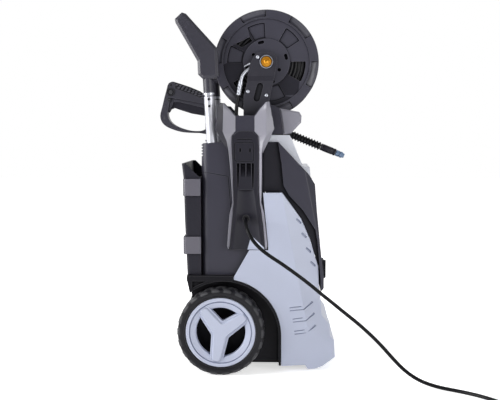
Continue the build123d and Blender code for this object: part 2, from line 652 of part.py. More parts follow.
# ------------------------------------------------------ accessory bin
BIN_BACK = -168.0
BIN_RIM = 498.0
BIN_PEAK = BIN_RIM + 34.0
BIN_CORNER = 7.0
BIN_BELLY = (LEDGE_Z + BIN_RIM) / 2 + 17.0
BANDS = ((BIN_RIM - 49, BIN_RIM - 5), (LEDGE_Z + 53, LEDGE_Z + 98))     # raised bands round the bin
with BuildPart() as accessory_bin:
    with BuildSketch(Plane.XZ):
        with BuildLine():
            Polyline(
                (BIN_BACK + 8, LEDGE_Z), (BIN_BACK + 2, BIN_BELLY), (BIN_BACK, BIN_RIM - 10),
                (BIN_BACK - 5, BIN_PEAK),
                (BIN_BACK + 5, BIN_PEAK), (BIN_BACK + 27, BIN_RIM + 12), (BIN_BACK + 40, BIN_RIM),
                (HOUSE_BACK - FIT, BIN_RIM), (HOUSE_BACK - FIT, LEDGE_Z), close=True,
            )
        make_face()
    extrude(amount=BIN_HW - 2.5, both=True)
    back_corners = accessory_bin.edges().filter_by(
        lambda e: abs(e.center().Y) > BIN_HW - 3 and e.center().X < BIN_BACK + 7 and e.center().Z < BIN_RIM
    )
    fillet(back_corners, BIN_CORNER)
    for z0, z1 in BANDS:
        with BuildSketch(Plane.XY.offset(z0)) as band:
            with Locations(((BIN_BACK - 2 + HOUSE_BACK - FIT) / 2, 0)):
                Rectangle(HOUSE_BACK - FIT - BIN_BACK + 2, 2 * BIN_HW)
            fillet(band.vertices().group_by(Axis.X)[0], BIN_CORNER + 2)
        extrude(amount=z1 - z0)
    with BuildSketch(Plane.XZ):
        with BuildLine():
            Polyline(
                (BIN_BACK + 8 + WALL, LEDGE_Z + 2 * WALL), (BIN_BACK + 2 + WALL, BIN_BELLY),
                (BIN_BACK + WALL, BIN_RIM - 10),
                (BIN_BACK - 5 + WALL, BIN_PEAK + 1), (HOUSE_BACK - WALL, BIN_PEAK + 1),
                (HOUSE_BACK - WALL, LEDGE_Z + 2 * WALL), close=True,
            )
        make_face()
    extrude(amount=BIN_HW - 2.5 - WALL, both=True, mode=Mode.SUBTRACT)
write(accessory_bin, "accessory_bin")

# -------------------------------------------------------- front cover
FOOT_FRONT = 218.0
CREASE_TOP = Vector(84, -COVER_HW, 441)
CREASE_RUN = Vector(48, 0, -248)
CREASE_NORMAL = Vector(89.3, -250, 17.3)
FACET_SLOTS = ((123.5, 387), (137, 351), (148.5, 313), (160, 277.5))
SLOT_LEN = 18.0
SLOT_W = 5.5
SLOT_DEEP = 2.5
# gills on each side: start of the upper slit, its length, length of the lower slit
GILLS = ((101, 166, 30, 37), (109, 137, 25, 34), (113, 106, 26, 33))
GILL_W = 2.2
GILL_DROP = 7.5      # lower slit below the upper one
GILL_TAIL = (25, 18)
GILL_DEEP = 2.0
facet = Plane(origin=CREASE_TOP, x_dir=(1, 0, 0), z_dir=CREASE_NORMAL)


def on_facet(x, z):
    """Place on the facet ahead of the crease, in the facet's own plane."""
    recess = (CREASE_NORMAL.X * (x - CREASE_TOP.X) + CREASE_NORMAL.Z * (z - CREASE_TOP.Z)) / CREASE_NORMAL.Y
    spot = facet.to_local_coords(Vector(x, CREASE_TOP.Y - recess, z))
    return spot.X, spot.Y


with BuildPart() as cover_vents:
    with BuildSketch(facet.offset(-SLOT_DEEP)):
        for x, z in FACET_SLOTS:
            with Locations(on_facet(x, z)):
                SlotOverall(SLOT_LEN, SLOT_W, rotation=-42)
        # tails of the gills turn up ahead of the crease
        for x, z, upper, lower in GILLS:
            root_x = x + lower - 2
            root_z = z - GILL_DROP + 3
            with BuildLine():
                Polyline(
                    on_facet(root_x, root_z), on_facet(root_x + GILL_TAIL[0], root_z + GILL_TAIL[1]),
                    on_facet(root_x + GILL_TAIL[0] - 3, root_z + GILL_TAIL[1] + 2 * GILL_W),
                    on_facet(root_x, root_z + GILL_W), close=True,
                )
            make_face()
    extrude(amount=SLOT_DEEP + 1)
    with BuildSketch(Plane.XZ.offset(COVER_HW - GILL_DEEP)):
        for x, z, upper, lower in GILLS:
            for left, low, length in ((x, z, upper), (x + 1, z - GILL_DROP, lower)):
                with BuildLine():
                    Polyline(
                        (left, low), (left + length, low + 4), (left + length, low + 4 + GILL_W),
                        (left, low + GILL_W),
                        close=True,
                    )
                make_face()
    extrude(amount=GILL_DEEP + 1)
    mirror(about=Plane.XZ)
with BuildPart() as front_cover:
    with BuildSketch(Plane.XZ):
        with BuildLine():
            Polyline(
                (33.5, COVER_Z), (81, COVER_Z), (129, 393), (152, 340), (167, 290), (174, 271),
                (175, 226), (179, 205), (183, 146), (203, 122), (205, 92), (215, 81), (FOOT_FRONT, 35),
                (186, 12), (168, 6), (148, 6), (141, 17), (ARCH_FRONT, TRAY_Z - 1), (-40, TRAY_Z - 1),
                (-40, LEDGE_Z - 3), (-1, BELT_Z - FIT), (46.8, BELT_Z - FIT), (46.8, 322), (38.6, 403),
                close=True,
            )
        make_face()
    extrude(amount=COVER_HW, both=True)
    # facets: the sides turn inwards ahead of a raking crease, and at the foot
    for side in (1, -1):
        crease = Plane(
            origin=(CREASE_TOP.X, side * CREASE_TOP.Y, CREASE_TOP.Z),
            x_dir=CREASE_RUN,
            z_dir=(CREASE_NORMAL.X, side * CREASE_NORMAL.Y, CREASE_NORMAL.Z),
        )
        split(bisect_by=crease, keep=Keep.BOTTOM)
        toe = Plane(
            origin=(140, -side * COVER_HW, 111),
            z_dir=Vector(20, -side * 100, -12),
        )
        split(bisect_by=toe, keep=Keep.BOTTOM)
    # wheel arches
    for out in (TRAY_HW - 2, -COVER_HW - 1):
        with BuildSketch(Plane.XZ.offset(out)):
            with Locations((arch_x, arch_z)):
                Circle(ARCH_R + ARCH_LIP + FIT)
            with Locations(((arch_x + ARCH_FRONT + FIT) / 2, arch_z / 2)):
                Rectangle(ARCH_FRONT + FIT - arch_x, arch_z)
        extrude(amount=COVER_HW - TRAY_HW + 3, mode=Mode.SUBTRACT)
    # the ledge ends against the cover, and the inside is open at back and top
    with BuildSketch(Plane.XZ):
        with BuildLine():
            Polyline(
                (-60, COVER_Z + 1), (230, COVER_Z + 1), (230, 204), (176, 204), (179.5, 148),
                (199.5, 122),
                (201.5, 93), (211, 80), (213.5, 38), (185, 16), (150, 16), (-60, 16), close=True,
            )
        make_face()
    extrude(amount=TRAY_HW + FIT, both=True, mode=Mode.SUBTRACT)
    with BuildSketch(Plane.XZ):
        with BuildLine():
            Polyline(
                (-60, COVER_Z + 1), (74, COVER_Z + 1), (122, 193), (114, 80), (80, 24), (-60, 24),
                close=True,
            )
        make_face()
    extrude(amount=COVER_HW - WALL, both=True, mode=Mode.SUBTRACT)
    # opening for the water inlet
    with BuildSketch(Plane.XZ.offset(-COVER_HW - 2)):
        with Locations((INLET_X, INLET_Z)):
            Circle(INLET_R + FIT)
    extrude(amount=40, mode=Mode.SUBTRACT)
    add(cover_vents.part, mode=Mode.SUBTRACT)
write(front_cover, "front_cover")

# ------------------------------------------------------- front fascia
SLOPE_TOP_X = 71.0
SLOPE_FOOT = (153, 499)
RAISE = 15.0                         # raised front panel over the sunken band
STUB_D = 8.0                         # switch spindle
KNOB_Z = 244.0
with BuildPart() as front_fascia:
    with BuildSketch(Plane.XZ):
        with BuildLine():
            Polyline(
                (HOUSE_FRONT + 0.6, COVER_Z + FIT), (HOUSE_FRONT + 0.6, HOUSE_Z - 8), (39.5, HOUSE_Z),
                (SLOPE_TOP_X, HOUSE_Z), SLOPE_FOOT, (165, 479), (170, 411), (177, 341),
                (181, 299), (188, 243),
                (188, 215), (180, 206), (180, 224), (174.5, 272), (167.5, 290.5), (152.5, 340.5),
                (129.5, 393.5),
                (81.3, COVER_Z + FIT), close=True,
            )
        make_face()
    extrude(amount=FASCIA_HW - RAISE, both=True)
    # raised panel: its side edge follows the cover a band's width away
    with BuildSketch(Plane.XZ):
        with BuildLine():
            Polyline(
                (SLOPE_TOP_X, HOUSE_Z), SLOPE_FOOT, (165, 479), (170, 411), (177, 341),
                (181, 299), (188, 243),
                (188, 215), (180, 206), (180, 238), (178, 262), (172, 330), (166, 364),
                (135, 413), (99, 451),
                (85, 476), (80, 529), close=True,
            )
        make_face()
    extrude(amount=FASCIA_HW, both=True)
    # facets along the front corners
    for side in (1, -1):
        bevel = Plane(origin=(150, -side * FASCIA_HW, 460), z_dir=Vector(100, -side * 110, 20))
        split(bisect_by=bevel, keep=Keep.BOTTOM)
    # hollow inside, open at the back and to the cover below
    with BuildSketch(Plane.XZ):
        with BuildLine():
            Polyline(
                (HOUSE_FRONT, COVER_Z - 1), (HOUSE_FRONT, HOUSE_Z - WALL),
                (SLOPE_TOP_X - 1, HOUSE_Z - WALL),
                (150, 497), (161, 478), (166, 411), (173, 341), (177, 299), (183, 243),
                (183, 219), (170, 200),
                (60, 200), close=True,
            )
        make_face()
    extrude(amount=FASCIA_HW - RAISE - WALL, both=True, mode=Mode.SUBTRACT)
    with BuildSketch(Plane.YZ.offset(170)):
        with Locations((0, KNOB_Z)):
            Circle(STUB_D / 2 + FIT)
    extrude(amount=30, mode=Mode.SUBTRACT)
write(front_fascia, "front_fascia")

# light panel on the front slope with its step
with BuildPart() as hood_panel:
    with BuildSketch(Plane.XZ):
        with BuildLine():
            Polyline(
                (46, HOUSE_Z + FIT), (54, 603.5), (100, 603.5), (106, 592), (133, 527),
                (137, 523), (151, 523),
                (SLOPE_FOOT[0] + 0.4, SLOPE_FOOT[1] + 0.4), (SLOPE_TOP_X + 0.4, HOUSE_Z + FIT),
                close=True,
            )
        make_face()
    extrude(amount=HOOD_HW, both=True)
    # groove under the bend relief
    with BuildSketch(hose_end_plane(-20)):
        Circle(BEND_D / 2 + 1)
    extrude(amount=100, mode=Mode.SUBTRACT)
write(hood_panel, "hood_panel")

# ----------------------------------------------------------- top deck
CONSOLE_BACK = 74.0
with BuildPart() as top_deck:
    with BuildSketch(Plane.XZ):
        with BuildLine():
            Polyline(
                (-64, HOUSE_Z), (-64, 600), (-64, DECK_Z), (50, DECK_Z), (50, 681), (CONSOLE_BACK, 671),
                (83, 606), (45, 605), (44, HOUSE_Z), close=True,
            )
        make_face()
    extrude(amount=CONSOLE_HW, both=True)
    with BuildSketch(Plane.XY.offset(HOUSE_Z)):
        with Locations((-16, 0)):
            Rectangle(98, 2 * HOUSE_HW)
    extrude(amount=DECK_Z - HOUSE_Z)
    with BuildSketch(Plane.XY.offset(HOUSE_Z - 1)):
        with Locations((-7, 0)):
            Rectangle(108, 2 * (HOUSE_HW - WALL))
    extrude(amount=DECK_Z - WALL - HOUSE_Z + 1, mode=Mode.SUBTRACT)
    # the reel turns in a hollow of the deck
    with BuildSketch(Plane.XZ):
        with Locations((REEL_X, REEL_Z)):
            Circle(REEL_R + 6)
    extrude(amount=FLANGE_OUT + 8, both=True, mode=Mode.SUBTRACT)
    # slots for the reel brackets
    for y in (-BRACKET_IN - BRACKET_T - FIT, BRACKET_IN - FIT):
        with BuildSketch(Plane.XY.offset(DECK_Z - 30)):
            with Locations(((BRACKET[0][0] + BRACKET[1][0]) / 2, y + BRACKET_T / 2 + FIT)):
                Rectangle(68, BRACKET_T + 2 * FIT)
        extrude(amount=31, mode=Mode.SUBTRACT)
    with BuildSketch(Plane.XY.offset(DECK_Z - 26)):
        with Locations((FEED_FOOT_X, FEED_Y)):
            Circle(HOSE_D / 2 + 1)
    extrude(amount=30, mode=Mode.SUBTRACT)
write(top_deck, "top_deck")

# light face of the hose outlet, ahead of the deck
with BuildPart() as console_face:
    with BuildSketch(Plane.XZ):
        with BuildLine():
            Polyline(
                (CONSOLE_BACK + FIT, 671), (124, 662), (130, 652), (129, 635), (104, 608),
                (83.3, 604.3), close=True,
            )
        make_face()
    extrude(amount=CONSOLE_HW, both=True)
    front_edges = console_face.faces().group_by(Axis.Y)
    chamfer(front_edges[0][0].edges(), 5)
    chamfer(console_face.faces().sort_by(Axis.Y)[-1].edges(), 5)
    # hollow underneath, with a slot for the hose on top
    with BuildSketch(Plane.XZ):
        with BuildLine():
            Polyline(
                (CONSOLE_BACK + 12, 657), (118, 655), (121, 636), (96, 600), (88, 600), close=True,
            )
        make_face()
    extrude(amount=CONSOLE_HW - 10, both=True, mode=Mode.SUBTRACT)
    with BuildSketch(Plane.XY.offset(640)):
        with Locations((98, -20)):
            SlotOverall(36, 16)
    extrude(amount=60, mode=Mode.SUBTRACT)
    with BuildSketch(Plane.XZ):
        with Locations((REEL_X, REEL_Z)):
            Circle(REEL_R + 6)
    extrude(amount=FLANGE_OUT + 8, both=True, mode=Mode.SUBTRACT)
    with BuildSketch(hose_end_plane(-2)):
        Circle(BEND_D / 2 + 1)
    extrude(amount=BEND_LEN, mode=Mode.SUBTRACT)
write(console_face, "console_face")

# hose end: ribbed bend relief, smooth barrel and threaded nozzle
with BuildPart() as hose_bend_relief:
    with BuildSketch(hose_end_plane(0)):
        Circle(BEND_D / 2 - 2)
        Circle(HOSE_D / 2 + FIT, mode=Mode.SUBTRACT)
    extrude(amount=BEND_LEN)
    rib_pitch = BEND_LEN / 11
    for rib in range(11):
        with BuildSketch(hose_end_plane((rib + 0.2) * rib_pitch)):
            Circle(BEND_D / 2)
            Circle(BEND_D / 2 - 3, mode=Mode.SUBTRACT)
        extrude(amount=rib_pitch * 0.55)
write(hose_bend_relief, "hose_bend_relief")
with BuildPart() as hose_barrel:
    with BuildSketch(hose_end_plane(BEND_LEN + FIT)):
        Circle(BARREL_D / 2)
    extrude(amount=BARREL_LEN)
    fillet(hose_barrel.edges().filter_by(GeomType.CIRCLE).sort_by(Axis.X)[0], 2)
write(hose_barrel, "hose_barrel")
with BuildPart() as hose_nozzle:
    with BuildSketch(hose_end_plane(BEND_LEN + BARREL_LEN + 2 * FIT)):
        Circle(NOZZLE_D / 2)
    extrude(amount=NOZZLE_LEN - 8)
    with BuildSketch(hose_end_plane(BEND_LEN + BARREL_LEN + NOZZLE_LEN - 8 + 2 * FIT)):
        Circle(NOZZLE_D / 2 - 2)
        Circle(NOZZLE_D / 2 - 5, mode=Mode.SUBTRACT)
    extrude(amount=8)
write(hose_nozzle, "hose_nozzle")

# ------------------------------------------------------ reel brackets
BRACKET_TOP = 820.0
JOGGLE_FOOT = 740.0                  # the plate's step, from the outer to the inner level
JOGGLE_HEAD = 753.0
BRACKET_SLOT = (20.5, 712)
BRACKET_SLOT_TILT = 75.0             # degrees from horizontal
BRACKET_SCREWS = [(-6, 714), (41, 704)]
BRACKET_TOP_SCREW = (18.5, 801)
SCREW_HEAD_R = 4.5
bracket_face = BRACKET_IN + BRACKET_T
bracket_step = bracket_face - JOGGLE
with BuildPart() as reel_bracket_right:
    # joggled strip seen from the front, cut to the tapered outline
    with BuildSketch(Plane.YZ.offset(BRACKET[0][0] - FIT)):
        with BuildLine():
            Polyline(
                (-bracket_face, DECK_Z - 30), (-bracket_face, JOGGLE_FOOT), (-bracket_step, JOGGLE_HEAD),
                (-bracket_step, BRACKET_TOP), (JOGGLE - BRACKET_IN, BRACKET_TOP),
                (JOGGLE - BRACKET_IN, JOGGLE_HEAD), (-BRACKET_IN, JOGGLE_FOOT),
                (-BRACKET_IN, DECK_Z - 30),
                close=True,
            )
        make_face()
    extrude(amount=BRACKET[4][0] - BRACKET[0][0] + 2 * FIT)
    with BuildSketch(Plane.XZ):
        with BuildLine():
            Polyline(*BRACKET, close=True)
        blade = make_face()
        fillet(blade.vertices().filter_by(lambda v: v.Z > JOGGLE_HEAD), 3)
        with Locations(BRACKET_SLOT):
            SlotOverall(48, 16, rotation=BRACKET_SLOT_TILT, mode=Mode.SUBTRACT)
        with Locations((REEL_X, REEL_Z)):
            Circle(11 + FIT, mode=Mode.SUBTRACT)
    extrude(amount=200, both=True, mode=Mode.INTERSECT)
write(reel_bracket_right, "reel_bracket_right")
with BuildPart() as reel_bracket_left:
    mirror(reel_bracket_right.part, about=Plane.XZ)
write(reel_bracket_left, "reel_bracket_left")

with BuildPart() as machine_screws:
    for out, spots in ((bracket_face, BRACKET_SCREWS), (bracket_step, [BRACKET_TOP_SCREW])):
        for sign in (1, -1):
            with BuildSketch(outward(0, -sign * out, 0, sign)):
                for x, z in spots:
                    with Locations((x, z * sign)):
                        Circle(SCREW_HEAD_R)
            extrude(amount=3)
write(machine_screws, "machine_screws")

# ------------------------------------------------------------ reel
POCKETS = (46.5, 106, 168, -74)      # closed pockets, degrees
WINDOWS = (-14, -134)                # open windows
POCKET_IN = 62.0
POCKET_OUT = 100.5
POCKET_HALF = 13.5                   # half the angle of a pocket
POCKET_DEEP = 5.0
NOTCH_HALF = 15.3
NOTCH_IN = 115.0
NOTCH_FIRST = 46.0
NOTCH_DEEP = 3.5
RING_DEEP = 2.0                      # ring between band and hub, below both
SLIT_SHAPE = [(-79.5, 47), (-42.5, 64.5), (-35.5, 53.5), (-63, 38)]
HUB_SLOTS = (52, 16, 8)              # radius, length, width of the four slots in the hub
HUB_SLOT_FIRST = 15.5
HUB_HOLES = (38, 4.5)                # radius and half width of the two holes in the hub
HUB_FLOOR = 2.0
NECK_R = 20.0


def sector(inner, outer, half, round_r):
    """Part of a ring, the half angle given either side of its middle."""
    with BuildSketch() as piece:
        with BuildLine():
            far = CenterArc((0, 0), outer, -half, 2 * half)
            near = CenterArc((0, 0), inner, -half, 2 * half)
            Line(far @ 0, near @ 0)
            Line(far @ 1, near @ 1)
        make_face()
        fillet(piece.vertices(), round_r)
    return piece.sketch


def at_angles(*angles):
    """Places about the centre, one for each angle."""
    return [Location((0, 0, 0), (0, 0, angle)) for angle in angles]


pocket = sector(POCKET_IN, POCKET_OUT, POCKET_HALF, 3)
window = sector(POCKET_IN, POCKET_OUT, NOTCH_HALF, 3)
notch = sector(NOTCH_IN, REEL_R + 10, NOTCH_HALF, 2)


def build_flange():
    """Right-hand flange: banded disc with pockets, windows and notches."""
    with BuildPart() as flange:
        face = outward(REEL_X, -FLANGE_OUT, REEL_Z)
        with BuildSketch(face.offset(-FLANGE_T)):
            Circle(REEL_R)
        extrude(amount=FLANGE_T)
        chamfer(flange.edges().filter_by(GeomType.CIRCLE), 1.2)
        # sunken ring between band and hub
        with BuildSketch(face.offset(-RING_DEEP)):
            Circle(BAND_R)
            Circle(DRUM_R, mode=Mode.SUBTRACT)
        extrude(amount=2 * RING_DEEP, mode=Mode.SUBTRACT)
        for shape, angles, depth in (
            (pocket, POCKETS, POCKET_DEEP), (window, WINDOWS, 2 * FLANGE_T),
            (notch, [NOTCH_FIRST + 60 * i for i in range(6)], NOTCH_DEEP),
        ):
            with BuildSketch(face.offset(-depth)):
                with Locations(*at_angles(*angles)):
                    add(shape)
            extrude(amount=depth + FLANGE_T, mode=Mode.SUBTRACT)
        # slit and the bore of the drum's neck
        with BuildSketch(face.offset(-2 * FLANGE_T)):
            with BuildLine():
                Polyline(*SLIT_SHAPE, close=True)
            make_face()
            Circle(NECK_R)
        extrude(amount=3 * FLANGE_T, mode=Mode.SUBTRACT)
        # blind slots and holes of the hub
        with BuildSketch(face.offset(HUB_FLOOR - FLANGE_T)):
            with PolarLocations(HUB_SLOTS[0], 4, start_angle=HUB_SLOT_FIRST):
                SlotOverall(HUB_SLOTS[1], HUB_SLOTS[2], rotation=90)
            with PolarLocations(HUB_HOLES[0], 2, start_angle=-30):
                Circle(HUB_HOLES[1])
        extrude(amount=2 * FLANGE_T, mode=Mode.SUBTRACT)
    return flange


reel_flange_right = build_flange()
write(reel_flange_right, "reel_flange_right")
with BuildPart() as reel_flange_left:
    mirror(reel_flange_right.part, about=Plane.XZ)
write(reel_flange_left, "reel_flange_left")

# drum with necks that fill the flanges' bores and stubs in the brackets
reel_axis = Axis((REEL_X, 0, REEL_Z), (0, 1, 0))
CRANK_IN = 104.0
with BuildPart() as reel_drum:
    with BuildSketch(Plane.YZ.offset(REEL_X)):
        inner = FLANGE_OUT - FLANGE_T - FIT / 2
        with BuildLine():
            Polyline(
                (-94, REEL_Z), (-94, REEL_Z + STUB_R), (-FLANGE_OUT - 0.6, REEL_Z + STUB_R),
                (-FLANGE_OUT - 0.6, REEL_Z + NECK_R - FIT / 2), (-4, REEL_Z + NECK_R - FIT / 2),
                (-4, REEL_Z + DRUM_R - 4),
                (-inner, REEL_Z + DRUM_R - 4), (-inner, REEL_Z + DRUM_R), (inner, REEL_Z + DRUM_R),
                (inner, REEL_Z + DRUM_R - 4), (4, REEL_Z + DRUM_R - 4), (4, REEL_Z + NECK_R - FIT / 2),
                (FLANGE_OUT + 1, REEL_Z + NECK_R - FIT / 2),
                (FLANGE_OUT + 1, REEL_Z + 11), (CRANK_IN, REEL_Z + 11), (CRANK_IN, REEL_Z), close=True,
            )
        make_face()
    revolve(axis=reel_axis)
write(reel_drum, "reel_drum")

with BuildPart() as hose_pack:
    with BuildSketch(Plane.YZ.offset(REEL_X)) as pack_sk:
        with Locations((0, REEL_Z + (DRUM_R + 0.5 + PACK_R) / 2)):
            RectangleRounded(2 * (FLANGE_OUT - FLANGE_T - 2), PACK_R - DRUM_R - 0.5, HOSE_D / 2)
    revolve(axis=reel_axis)
write(hose_pack, "hose_pack")

# crank on the far side: arm, pin and free-turning knob
ARM_T = 8.0
CRANK_ANGLE = -90.0
crank_plane = Plane(origin=(REEL_X, CRANK_IN, REEL_Z), x_dir=(1, 0, 0), z_dir=(0, 1, 0))
knob_x = REEL_X + CRANK_R * cos(radians(CRANK_ANGLE))
knob_z = REEL_Z + CRANK_R * sin(radians(CRANK_ANGLE))
with BuildPart() as reel_crank:
    with BuildSketch(Plane.XZ.offset(-CRANK_IN - ARM_T)):
        with Locations((REEL_X, REEL_Z), (knob_x, knob_z)):
            Circle(13)
        with Locations(((REEL_X + knob_x) / 2, (REEL_Z + knob_z) / 2)):
            Rectangle(CRANK_R, 17, rotation=CRANK_ANGLE)
    extrude(amount=ARM_T - 0.01)
    with BuildSketch(Plane.XZ.offset(-CRANK_IN - ARM_T - 44)):
        with Locations((knob_x, knob_z)):
            Circle(4)
    extrude(amount=46)
write(reel_crank, "reel_crank")
with BuildPart() as crank_knob:
    with BuildSketch(Plane.XZ.offset(-CRANK_IN - ARM_T - 48)):
        with Locations((knob_x, knob_z)):
            Circle(13)
    extrude(amount=47)
    fillet(crank_knob.edges().filter_by(GeomType.CIRCLE), 4)
    with BuildSketch(Plane.XZ.offset(-CRANK_IN - ARM_T - 44.5)):
        with Locations((knob_x, knob_z)):
            Circle(4 + FIT)
    extrude(amount=60, mode=Mode.SUBTRACT)
write(crank_knob, "crank_knob")

# --------------------------------------------- swivel and feed pipe
with BuildPart() as swivel_body:
    with BuildSketch(Plane.YZ.offset(REEL_X)):
        with BuildLine():
            Polyline(
                (-SWIVEL_IN, REEL_Z + STUB_R + FIT), (-SWIVEL_IN, REEL_Z + 14.5),
                (-BRACKET_IN + JOGGLE + FIT, REEL_Z + 14.5), (-BRACKET_IN + JOGGLE + FIT, REEL_Z + 11),
                (-bracket_face + JOGGLE - 7, REEL_Z + 11), (-bracket_face + JOGGLE - 9, REEL_Z + 9),
                (-bracket_face + JOGGLE - 9, REEL_Z), (-95, REEL_Z), (-95, REEL_Z + STUB_R + FIT),
                close=True,
            )
        make_face()
    revolve(axis=reel_axis)
write(swivel_body, "swivel_body")
NUT_R = 17.5         # plated ring that clamps the swivel
with BuildPart() as swivel_ring:
    with BuildSketch(Plane.XZ.offset(bracket_face - JOGGLE)):
        with Locations((REEL_X, REEL_Z)):
            Circle(NUT_R)
            Circle(11 + 0.1, mode=Mode.SUBTRACT)
    extrude(amount=5)
    rim_edge = swivel_ring.edges().filter_by(GeomType.CIRCLE).group_by(Axis.Y)[0].sort_by(SortBy.RADIUS)[-1]
    chamfer(rim_edge, 1.2)
write(swivel_ring, "swivel_ring")

FERRULE_HEAD = Vector(-24.4, FEED_Y, 742)
FERRULE_FOOT = Vector(-30.9, FEED_Y, 705)
ferrule_dir = (FERRULE_FOOT - FERRULE_HEAD).normalized()
ferrule_len = (FERRULE_FOOT - FERRULE_HEAD).length
with BuildPart() as feed_elbow:
    with BuildLine() as elbow_line:
        FilletPolyline(
            (REEL_X - 13.1, FEED_Y, REEL_Z - 7), (-6, FEED_Y, 770), FERRULE_HEAD - ferrule_dir * 10,
            FERRULE_HEAD + ferrule_dir * 20, radius=12,
        )
    with BuildSketch(elbow_line.line ^ 0):
        Circle(FEED_D / 2)
    sweep()
    with BuildSketch(Plane(origin=FERRULE_HEAD, x_dir=(0, 1, 0), z_dir=ferrule_dir)):
        Circle(FERRULE_D / 2)
    extrude(amount=ferrule_len)
write(feed_elbow, "feed_elbow")
with BuildPart() as feed_hose:
    with BuildLine() as feed_line:
        FilletPolyline(
            FERRULE_FOOT + ferrule_dir * FIT, (-33.6, FEED_Y, 690), (-35.9, FEED_Y, 671),
            (FEED_FOOT_X, FEED_Y, DECK_Z - 20), radius=60,
        )
    with BuildSketch(feed_line.line ^ 0):
        Circle(HOSE_D / 2)
    sweep()
write(feed_hose, "feed_hose")

# hose from the reel down through the outlet to the bend relief
LEAD = [
    (119.5, -20, 704), (107, -20, 689), (98, -20, 670), (93, -20, 650), (92, -20, 630), (97, -20, 611),
    (112, -20, 601.7),
]
with BuildPart() as hose_lead:
    with BuildLine() as lead_line:
        FilletPolyline(*LEAD, radius=40)
    with BuildSketch(lead_line.line ^ 0):
        Circle(HOSE_D / 2)
    sweep()
write(hose_lead, "hose_lead")

# --------------------------------------------------- motor and pump
MOTOR_X = 74.0
MOTOR_R = 59.0
MOTOR_Z0 = 262.0
MOTOR_Z1 = 412.0
GEAR_Z0 = 216.0
PUMP_Z0 = 96.0
SHAFT_D = 12.0
with BuildPart() as motor_can:
    with BuildSketch(Plane.XY.offset(MOTOR_Z0)):
        with Locations((MOTOR_X, 0)):
            Circle(MOTOR_R)
    extrude(amount=MOTOR_Z1 - MOTOR_Z0)
    chamfer(motor_can.edges().filter_by(GeomType.CIRCLE), 5)
    with BuildSketch(Plane.XY.offset(MOTOR_Z0 + 6)):
        with Locations((MOTOR_X, 0)):
            Circle(MOTOR_R - 6)
    extrude(amount=MOTOR_Z1 - MOTOR_Z0 - 12, mode=Mode.SUBTRACT)
    with BuildSketch(Plane.XY.offset(MOTOR_Z0 - 1)):
        with Locations((MOTOR_X, 0)):
            Circle(SHAFT_D / 2 + RUN)
    extrude(amount=MOTOR_Z1 - MOTOR_Z0 + 2, mode=Mode.SUBTRACT)
    # air slots round the top end
    with BuildSketch(Plane.XY.offset(MOTOR_Z1 - 10)):
        with Locations((MOTOR_X, 0)):
            with PolarLocations(MOTOR_R * 0.6, 8):
                SlotOverall(22, 6)
    extrude(amount=20, mode=Mode.SUBTRACT)
write(motor_can, "motor_can")

FAN_R = 50.0
FAN_Z = MOTOR_Z1 + 12
with BuildPart() as motor_rotor:
    with BuildSketch(Plane.XY.offset(GEAR_Z0 + 12)):
        with Locations((MOTOR_X, 0)):
            Circle(SHAFT_D / 2)
    extrude(amount=FAN_Z + 12 - GEAR_Z0 - 12)
    with BuildSketch(Plane.XY.offset(MOTOR_Z0 + 30)):
        with Locations((MOTOR_X, 0)):
            Circle(MOTOR_R - 16)
    extrude(amount=MOTOR_Z1 - MOTOR_Z0 - 60)
    with BuildSketch(Plane.XY.offset(FAN_Z)):
        with Locations((MOTOR_X, 0)):
            Circle(FAN_R)
    extrude(amount=2)
    with BuildSketch(Plane.XY.offset(FAN_Z + 1)):
        with Locations((MOTOR_X, 0)):
            with PolarLocations(FAN_R * 0.62, 9):
                Rectangle(FAN_R * 0.7, 2.5, rotation=25)
    extrude(amount=11)
write(motor_rotor, "motor_rotor")

with BuildPart() as gearbox_case:
    with BuildSketch(Plane.XY.offset(GEAR_Z0)):
        with Locations((MOTOR_X, 0)):
            Circle(MOTOR_R - 4)
            with PolarLocations(MOTOR_R - 2, 4, start_angle=45):
                Circle(7)
    extrude(amount=MOTOR_Z0 - GEAR_Z0)
    with BuildSketch(Plane.XY.offset(GEAR_Z0 + 11)):
        with Locations((MOTOR_X, 0)):
            Circle(SHAFT_D / 2 + RUN)
    extrude(amount=MOTOR_Z0 - GEAR_Z0, mode=Mode.SUBTRACT)
write(gearbox_case, "gearbox_case")

with BuildPart() as pump_block:
    with BuildSketch(Plane.XY.offset(PUMP_Z0 + 34)):
        with Locations((MOTOR_X, 0)):
            with PolarLocations(26, 3, start_angle=60):
                Circle(17)
            Circle(22)
    extrude(amount=GEAR_Z0 - PUMP_Z0 - 34)
    with BuildSketch(Plane.XY.offset(PUMP_Z0)):
        with Locations((MOTOR_X, 0)):
            RectangleRounded(88, 80, 8)
    extrude(amount=40)
    with BuildSketch(Plane.XY.offset(TRAY_Z + WALL)):
        with Locations((MOTOR_X, 0)):
            with GridLocations(60, 56, 2, 2):
                Circle(8)
    extrude(amount=PUMP_Z0 - TRAY_Z - WALL + 2)
write(pump_block, "pump_block")

with BuildPart() as unloader_valve:
    with BuildSketch(Plane.YZ.offset(MOTOR_X - 44 - 46)):
        with Locations((-16, PUMP_Z0 + 20)):
            Circle(12)
    extrude(amount=46)
    with BuildSketch(Plane.YZ.offset(MOTOR_X - 44 - 52)):
        with Locations((-16, PUMP_Z0 + 20)):
            RegularPolygon(10, 6)
    extrude(amount=8)
write(unloader_valve, "unloader_valve")

